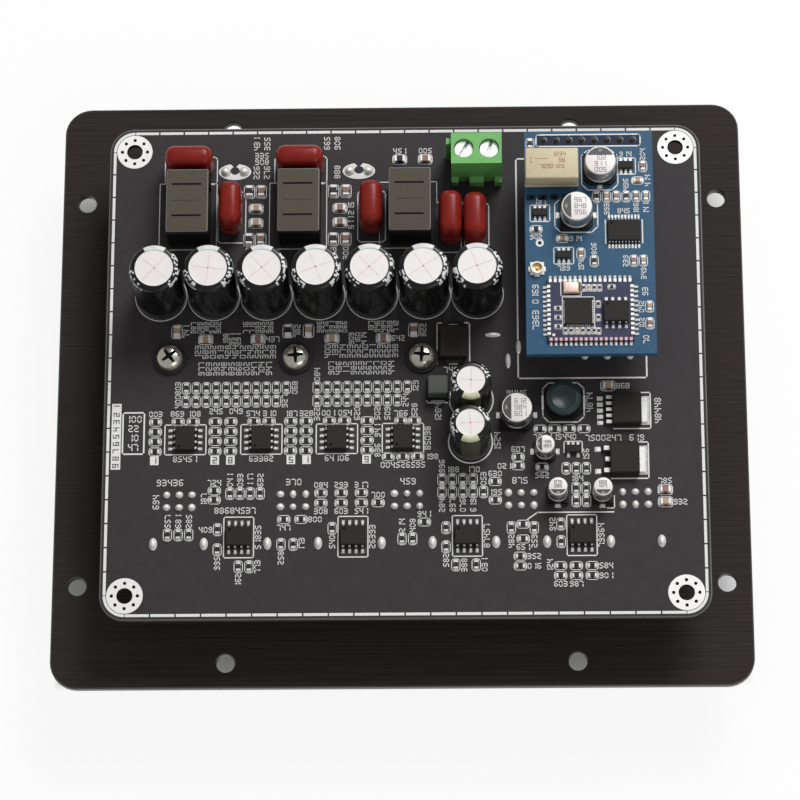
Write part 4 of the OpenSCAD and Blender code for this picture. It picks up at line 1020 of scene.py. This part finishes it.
def make_pointers():
    """White inlays in the grooves on the knobs' fronts."""
    for i, spot in enumerate(CONTROLS, 1):
        lo, hi = box(f"control_knob_{i}")
        rim, floor, half = spot.y + (hi.x - lo.x) / 2, lo.z + 0.6, 0.42
        shape = Shape(f"pointer_{i}", f"control_{i}")
        low, high = (spot.x - half, rim - 5.3, floor - 0.25), (spot.x + half, rim - 0.35, floor + 0.02)
        shape.block(low, high, INK, 0.05)
        shape.build(slot="knob_black")


# White print on the main board

def print_border(marks):
    """A dashed line along the board's edges that is solid round the corners."""
    inset, r, width, pitch, gap = 1.0, 4.0, 0.56, 5.0, 0.3
    lo, hi = BOARD_LO.to_2d() + Vector((inset, inset)), BOARD_HI.to_2d() - Vector((inset, inset))
    for axis in (0, 1):
        start, stop = lo[axis] + r, hi[axis] - r
        count = round((stop - start) / pitch)
        step = (stop - start) / count
        for side in (lo[1 - axis], hi[1 - axis]):
            for k in range(count):
                a, b = Vector((side - width / 2,) * 2), Vector((side + width / 2,) * 2)
                a[axis], b[axis] = start + k * step + gap / 2, start + (k + 1) * step - gap / 2
                marks.patch(a, b)
    corners = ((hi.x - r, hi.y - r), (lo.x + r, hi.y - r), (lo.x + r, lo.y + r), (hi.x - r, lo.y + r))
    for n, corner in enumerate(corners):
        marks.arc(corner, r, width, 90 * n, 90 * n + 90, 10)


def print_capacitor_outlines(marks):
    """Rings and frames round the capacitors and output inductors."""
    for lo, hi in [box(node) for node in BULK]:
        marks.arc(middle(lo, hi), (hi.x - lo.x) / 2 + 0.2, 0.18)
    for lo, hi in solids("supply_capacitors"):
        marks.arc(middle(lo, hi), (hi.x - lo.x) / 2 + 0.35, 0.28)
    for node in INDUCTORS:
        marks.frame(*grown(*box(node), 2.1, 0.5, 1.1, 0.4))
    for lo, hi in solids("film_capacitors"):
        marks.frame(*grown(lo, hi, 0.5, 1.0, high=0.4), 0.2, 0.5)


def print_chip_outlines(marks):
    """Frames and brackets round the chips, the supply parts and the place of the wireless board."""
    for lo, hi in solids("op_amps"):
        grow = Vector((0.5, 1.1)) if long_axis(lo, hi) else Vector((1.05, 0.65))
        marks.frame(lo.to_2d() - grow, hi.to_2d() + grow, 0.22)
    lo, hi = solids("surface_capacitors")[-1]
    marks.line([(hi.x + 0.2, lo.y + 2.4), (hi.x + 0.2, lo.y - 0.1), (hi.x - 1.2, lo.y - 0.1)], 0.2)
    marks.frame(*grown(*box("buck_inductor"), 0.2), 0.26, 1.2)
    lo, hi = box("choke_inductor")
    y = lo.y - 0.45
    marks.line([(lo.x + 0.1, y + 0.6), (lo.x + 0.1, y), (hi.x - 0.1, y), (hi.x - 0.1, y + 0.6)], 0.22)
    lo, hi = box("input_diode")
    for x, inward in ((lo.x - 0.55, 1), (hi.x + 0.55, -1)):
        marks.line([(x, lo.y), (x, hi.y + 0.5), (x + inward * 0.9, hi.y + 0.5)], 0.26)
    for node in ("voltage_regulator", "power_transistor"):
        lo, hi = box(node)
        x, low, high = hi.x + 0.65, lo.y - 0.55, hi.y + 0.55
        marks.line([(x - 2.0, high), (x, high), (x, low), (lo.x + 2.9, low)], 0.24)
    for lo, hi in solids("small_transistors"):
        if lo.z < DECK - 1:
            x0, x1, y0, y1 = lo.x - 0.35, hi.x + 0.35, (lo.y + hi.y) / 2 - 0.6, hi.y + 0.3
            marks.line([(x0, y0), (x0, y1), (x1, y1), (x1, y0)], 0.22)
    for spot in middles("speaker_sockets"):
        turns = [radians(106 + 11 * k) for k in range(31)]
        marks.band(*[[(spot.x + w * cos(a), spot.y + h * sin(a) + rise) for a in turns]
                     for w, h, rise in ((3.3, 1.75, 0.0), (0.95, 0.85, 0.25))])
    shift = Vector((-1.5, -0.75))
    marks.frame(DECK_LO.to_2d() + shift, DECK_HI.to_2d() + shift, 0.32)
    cans = solids("surface_capacitors")[-2:]
    start, y = cans[0][0].x - 1.9, cans[0][0].y - 1.0
    marks.line([(start - 2.2, y - 1.6), (start, y), (cans[1][1].x, y)], 0.24)


def print_legend(marks, dark):
    """A white strip with dark numbers beside a framed box of values."""
    row, pitch, wide, cells = middles("op_amps")[0].y, 1.52, 1.9, 9
    x, top = BOARD_LO.x + 1.65, row + 7.6
    marks.patch((x, top - cells * pitch), (x + wide, top))
    for k in range(cells):
        dark.number(str((k + 1) % 10), (x + wide / 2, top - 0.76 - k * pitch), 1.05, 90, 0.2)
    lo, hi = (x + wide + 0.35, row - 2.9), (x + wide + 4.6, row + 5.7)
    marks.frame(lo, hi, 0.3)
    marks.reserve((x, lo[1]), hi)
    for k, text in enumerate(("100", "22", "10", "47")):
        marks.number(text, ((lo[0] + hi[0]) / 2, hi[1] - 1.35 - k * 1.95), 1.2, width=0.2)


def print_numbers(marks, dark):
    """Rows of numbers over the chip banks, and numbers at the chips and controls."""
    screws = middles("spreader_washers")
    for n, (a, b) in enumerate(zip(screws, screws[1:])):
        mid = (a + b) / 2
        for rise, count in ((1.5, 11 - n), (-2.05, 10 - n)):
            for k in range(count):
                marks.jot(mid.x + 0.5 + (k - (count - 1) / 2) * 1.5, mid.y + rise, turn=90)
    chips = middles("op_amps")
    for n, spot in enumerate(chips[:3]):
        for x in (-1.7, 1.6):
            marks.jot(spot.x + x, spot.y + 5.4, size=1.0)
        marks.jot(spot.x, spot.y - 4.0, 5)
        for x in ((-6.1, 5.9, 9.0), (5.9, 9.0), (5.9,))[n]:
            lo, hi = (spot.x + x - 0.85, spot.y - 5.2), (spot.x + x + 0.85, spot.y - 3.4)
            marks.patch(lo, hi)
            dark.number(any_number(1), (spot.x + x, spot.y - 4.3), 1.1, width=0.22)
            marks.reserve(lo, hi)
    marks.jot(chips[3].x + 4.9, chips[3].y, 5, turn=90)
    for x in (-3, 0, 3):
        marks.jot(chips[3].x + x, chips[3].y - 5.5)
    for spot in chips[4:]:
        marks.jot(spot.x + 3.8, spot.y, 5, turn=90)
    lo, hi = box("voltage_regulator")
    marks.jot(hi.x + 2.1, (lo.y + hi.y) / 2, 5, 1.15, 90)
    for n, (spot, shift) in enumerate(zip(CONTROLS, (-1.9, 0.1, 0.2, -0.2, -0.4))):
        marks.jot(spot.x + shift, spot.y + 12.6, 3 if n else 5, 1.15)
    marks.jot(CONTROLS[0].x - 4.6, CONTROLS[0].y + 8.6, 3, 1.1, 90)
    marks.jot(chips[4].x - 0.8, chips[4].y + 5.5, 8, 1.1)
    lo, hi = box("power_transistor")
    for x, places in ((lo.x + 1.4, 7), (hi.x - 1.6, 3)):
        marks.jot(x, hi.y + 1.5, places, 1.1)


def print_output_numbers(marks):
    """Blocks of numbers between the output inductors and under the large capacitors."""
    near, far, step = 4.4, 6.5, 1.25
    for spot, side in zip(middles("speaker_sockets"), (1, -1)):
        for x in (near, far):
            for y in (6.1, -0.2):
                marks.jot(spot.x + side * x, spot.y + y, turn=90)
        for y in (3.5, 2.1):
            marks.jot(spot.x + side * (near + far) / 2, spot.y + y)
    for node in INDUCTORS:
        lo, hi = box(node)
        marks.jot(hi.x - 1.6, lo.y - 1.5, 2, 1.0)
    row = middles("spreader_washers")[0].y + 4.2
    flat = [middle(lo, hi) for lo, hi in solids("chip_capacitors")
            if lo.y < row < hi.y and not long_axis(lo, hi)]
    for spot in flat:
        for k in range(5):
            marks.jot(spot.x + (k - 2) * step, spot.y + 2.5, 3, 0.9, 90)
    for a, b in zip(flat[::2], flat[1::2]):
        for k in range(3):
            marks.jot((a.x + b.x) / 2 + (k - 1) * step, row, 3, 0.9, 90)


def print_part_numbers(marks):
    """Numbers beside the supply parts and the small chips, wherever there is room."""
    for node in ("power_transistor", "input_diode", "choke_inductor", "buck_inductor", "supply_capacitors",
                 "surface_capacitors"):
        for lo, hi in solids(node):
            marks.label(lo, hi, 5 if node == "power_transistor" else 4, 1.1)
    for node in ("chip_capacitors", "chip_resistors"):
        for lo, hi in solids(node):
            marks.label(lo, hi)


def make_board_print():
    marks = Legend("board_print", BOARD_LO, BOARD_HI, 1.5)
    dark = Print("board_print_digits", TOP + INK_T, PRINT_DIGIT)
    for x, y in bolt_places("board_corner_holes")[0]:
        marks.reserve((x - CORNER_R, y - CORNER_R), (x + CORNER_R, y + CORNER_R))
    for node in frame["nodes"]:
        for lo, hi in solids(node):
            if lo.z < TOP + 1 and hi.z > TOP + 0.1:
                marks.reserve(lo, hi)
    for node in ("chip_resistors", "chip_capacitors"):
        for lo, hi in solids(node):
            marks.bubble(lo, hi)
    print_border(marks)
    print_capacitor_outlines(marks)
    print_chip_outlines(marks)
    print_legend(marks, dark)
    print_numbers(marks, dark)
    print_output_numbers(marks)
    print_part_numbers(marks)
    marks.build(slot="board_black")
    dark.build(slot="board_black")


# White print on the wireless board and its module

def print_deck_outlines(marks, navy):
    """Frames, lines and dark inlays at the wireless board's parts."""
    pins = header_spots()
    lo, hi = (pins[0][0] - 1.5, pins[0][1] - 1.3), (pins[-1][0] + 1.5, pins[0][1] + 1.2)
    marks.frame(lo, hi, 0.26, 0.35)
    navy.patch((lo[0] + 0.2, lo[1] + 0.2), (hi[0] - 0.2, hi[1] - 0.2))
    for x, y in pins:
        marks.patch((x - 0.14, y + 0.62), (x + 0.14, y + 1.05))
    marks.reserve(lo, hi)
    corner = box("signal_relay")[0]
    for k in range(4):
        x, y = corner.x + 1.2 + k * 2.3, corner.y - 2.0
        navy.patch((x - 0.85, y - 0.6), (x + 0.85, y + 0.6))
        marks.dot((x, y), 0.26)
    for lo, hi in solids("deck_capacitors"):
        marks.frame(*grown(lo, hi, 0.3), 0.22, 1.2)
    lo, hi = box("converter_chip")
    for x in (lo.x - 0.4, hi.x + 0.4):
        marks.line([(x, lo.y + 0.8), (x, hi.y - 0.8)], 0.26)
    for lo, hi in solids("small_transistors"):
        if lo.z > DECK - 1:
            marks.frame(*grown(lo, hi, 0.5, 0.35), 0.2)
    for lo, hi in solids("deck_chips"):
        if lo.z < DECK + 0.3:
            marks.bubble(lo, hi, 0.4)
    # The hole is drawn as a navy dot: painted shade in it.
    hole = DECK_LO + Vector((2.9, 23.3, 0))
    marks.arc(hole, 0.6, 0.42, parts=20)
    navy.dot(hole, 0.4)


def make_deck_print():
    marks, navy = Legend("deck_print", DECK_LO, DECK_HI, 0.4), Print("deck_inlays", DECK, NAVY_AND_SHADE)
    for node in ("deck_capacitors", "deck_chips", "small_transistors", "converter_chip", "signal_relay",
                 "antenna_connector", "wireless_module"):
        for lo, hi in solids(node):
            if hi.z > DECK:
                marks.reserve(lo, hi, 0.9 if node == "wireless_module" else 0.3)
    print_deck_outlines(marks, navy)
    lo, hi = box("wireless_module")
    for share in (0.36, 0.78):
        marks.jot(lo.x - 2.3, lo.y + share * (hi.y - lo.y), 4, 1.1, 90)
    for y in (hi.y - 2.4, lo.y + 0.4):
        marks.jot(hi.x + 2.3, y, 2, 1.0, 90)
    for node in ("converter_chip", "small_transistors", "deck_chips"):
        for lo, hi in solids(node):
            if DECK - 1 < lo.z < DECK + 0.3:
                marks.label(lo, hi, 3, 0.9)
    marks.build(slot="board_blue")
    navy.build(slot="board_blue")


def make_module_print():
    lo, hi = box("wireless_module")
    marks = Print("module_print", hi.z)
    square = min(solids("module_chips"), key=lambda b: b[1].z - b[0].z)
    marks.frame(*grown(*square, 0.45))
    marks.frame(*grown(*box("module_crystal"), 0.4))
    for a, b in solids("deck_chips"):
        if a.z > hi.z - 0.1:
            marks.frame(*grown(a, b, 0.22), 0.1)
    marks.dot((lo.x + 1.2, lo.y + 1.2), 0.3)
    marks.build(slot="board_blue")


# The pieces in their order, and the materials of the solids that stay

make("control_panel", "front_panel", "panel_black", panel)
make("circuit_board", "main_board", "board_black", board)
make_corner_rings()
for i, node in enumerate(BULK, 1):
    make(f"sleeved_capacitor_{i}", node, "sleeve_black", sleeved_can, stripe=90, bands=(STRIPE, STRIPE),
         leg=2.5)
make("sleeved_supply_capacitors", "supply_capacitors", "sleeve_black", sleeved_can, each=True, stripe=270,
     bands=(LIT_STRIPE, SHADED_STRIPE), leg=1.75, disc=0.7)
make_surface_capacitors()
make("dipped_capacitors", "film_capacitors", "film_red", film_capacitor, each=True, sharp=60)
for i, node in enumerate(INDUCTORS, 1):
    make(f"ferrite_inductor_{i}", node, "ferrite_grey", output_inductor)
make("drum_inductor", "buck_inductor", "coil_teal", drum_inductor)
make("moulded_choke", "choke_inductor", "washer_black", choke)
make("regulator_package", "voltage_regulator", "chip_black", tab_package, count=5, pitch=1.27, lead_w=0.7)
make("transistor_package", "power_transistor", "chip_black", tab_package, count=3, pitch=2.29, lead_w=0.9,
     skip=1)
make("rectifier_diode", "input_diode", "chip_black", diode)
make("signal_chips", "op_amps", "chip_black", dual_package, each=True, base=TOP, count=4, pitch=1.27,
     lead_w=0.42, reach=1.1)
make("small_packages", "small_transistors", "chip_black", small_package, each=True)
make_small_chips()
make("solder_fillets", "solder_joints", "solder", solder_joint, each=True, sharp=50,
     wetting=random.Random(9))
make("cross_head_screws", "spreader_screws", "screw_steel", screw, each=True)
make("plug_in_board", "wireless_board", "board_blue", wireless_board)
make("module_board", "wireless_module", "board_blue", module_board)
make("module_packages", "module_chips", "chip_black", module_package, each=True)
make("crystal_can", "module_crystal", "crystal_copper", crystal)
make("antenna_socket", "antenna_connector", "contact_gold", antenna_socket)
make("converter_package", "converter_chip", "chip_black", dual_package, base=DECK, count=10, pitch=0.65,
     lead_w=0.25, reach=1.0, axis=1)
make("relay_case", "signal_relay", "relay_cream", relay)
make_relay_marks()
make_board_print()
make_deck_print()
make_module_print()
make_pointers()
dress(GREEN, "terminal_housing")
dress(NICKEL, "terminal_screws")
dress(SCREW, "terminal_clamps", "control_nuts", "control_washers")
dress(WASHER, "spreader_washers")
dress(MILLED, "heat_spreader")
dress(CHIP, "amplifier_chips")
dress(SOCKET, "header_socket", "header_pins", "power_jack", "input_jack", "speaker_sockets")
dress(PLATED, "control_bodies", *[f"control_shaft_{i}" for i in range(1, 6)])
dress(KNOB, *[f"control_knob_{i}" for i in range(1, 6)])


# Stage, light and camera

def reckon(mat, operation, *values):
    """The output of a node that works out a value from others."""
    made = add_node(mat, "Math", *values)
    made.operation = operation
    return made.outputs[0]


def beyond_panel(mat, inset=(1.4, 7.2), soft=(3.0, 3.5)):
    """A value that rises from 0 under the panel to 1 outside it; inset and soft are in mm."""
    place = add_node(mat, "SeparateXYZ", add_node(mat, "TexCoord").outputs["Object"]).outputs
    mid, half = middle(PANEL_LO, PANEL_HI), (PANEL_HI - PANEL_LO) / 2
    rises = []
    for axis in (0, 1):
        off = reckon(mat, "ABSOLUTE", reckon(mat, "SUBTRACT", place[axis], mid[axis] * MM))
        start = half[axis] - inset[axis]
        rise = add_node(mat, "MapRange", Value=off, From_Min=start * MM, From_Max=(start + soft[axis]) * MM)
        rise.interpolation_type = "SMOOTHSTEP"
        rises.append(rise.outputs[0])
    return reckon(mat, "MAXIMUM", *rises)


def show_white(mat, share=0.9):
    """Lets the eye, and what mirrors or passes it, see a nearly white floor round the object."""
    nodes, path = mat.node_tree.nodes, add_node(mat, "LightPath").outputs
    seen = path["Is Camera Ray"]
    for ray in ("Is Glossy Ray", "Is Transmission Ray"):
        seen = reckon(mat, "MAXIMUM", seen, path[ray])
    part = reckon(mat, "MULTIPLY", reckon(mat, "MULTIPLY", seen, beyond_panel(mat)), share)
    glow = add_node(mat, "Emission").outputs[0]
    mix = add_node(mat, "MixShader", part, nodes["Principled BSDF"].outputs[0], glow)
    plug(mat, nodes["Material Output"], Surface=mix.outputs[0])


def make_floor():
    reach, gap = 8.0, 0.00005
    mesh = bpy.data.meshes.new("floor")
    z = solid_box[0].z - gap
    corners = [(-reach, -reach, z), (reach, -reach, z), (reach, reach, z), (-reach, reach, z)]
    mesh.from_pydata(corners, [], [(0, 1, 2, 3)])
    mesh.materials.append(FLOOR)
    show_white(FLOOR)
    floor = bpy.data.objects.new("floor", mesh)
    bpy.context.scene.collection.objects.link(floor)


def lamp(name, at, size, power):
    """A round soft light that points at the middle of the object."""
    aim = (0, 0, 0.01)
    light = bpy.data.lights.new(name, "AREA")
    light.shape, light.size, light.energy = "DISK", size, power
    holder = bpy.data.objects.new(name, light)
    holder.location = at
    holder.rotation_euler = (Vector(aim) - Vector(at)).to_track_quat("-Z", "Y").to_euler()
    bpy.context.scene.collection.objects.link(holder)


def make_light():
    world = bpy.data.worlds.new("studio")
    bpy.context.scene.world = world
    world.use_nodes = True
    sky = world.node_tree.nodes["Background"].inputs
    sky["Color"].default_value = (1, 1, 1, 1)
    sky["Strength"].default_value = 0.36
    lamp("key", (0.3, 0.64, 0.76), 0.55, 8.6)
    lamp("fill", (0.45, -0.6, 0.6), 0.6, 1.5)


def make_camera():
    """The photograph's view: the board seen from above and a little from the controls' side."""
    place, tilts = Vector((15.290, -226.738, 690.838)), ((18.0, "X"), (1.2287, "Y"), (-0.4393, "Z"))
    data = bpy.data.cameras.new("camera")
    data.sensor_width, data.lens = 36.0, 160.97
    camera = bpy.data.objects.new("camera", data)
    turn = Matrix.Identity(3)
    for angle, axis in tilts:
        turn = turn @ Matrix.Rotation(radians(angle), 3, axis)
    camera.matrix_world = Matrix.Translation(place * MM) @ turn.to_4x4()
    bpy.context.scene.collection.objects.link(camera)
    bpy.context.scene.camera = camera


make_floor()
make_light()
make_camera()
bpy.context.scene.view_settings.view_transform = "Standard"
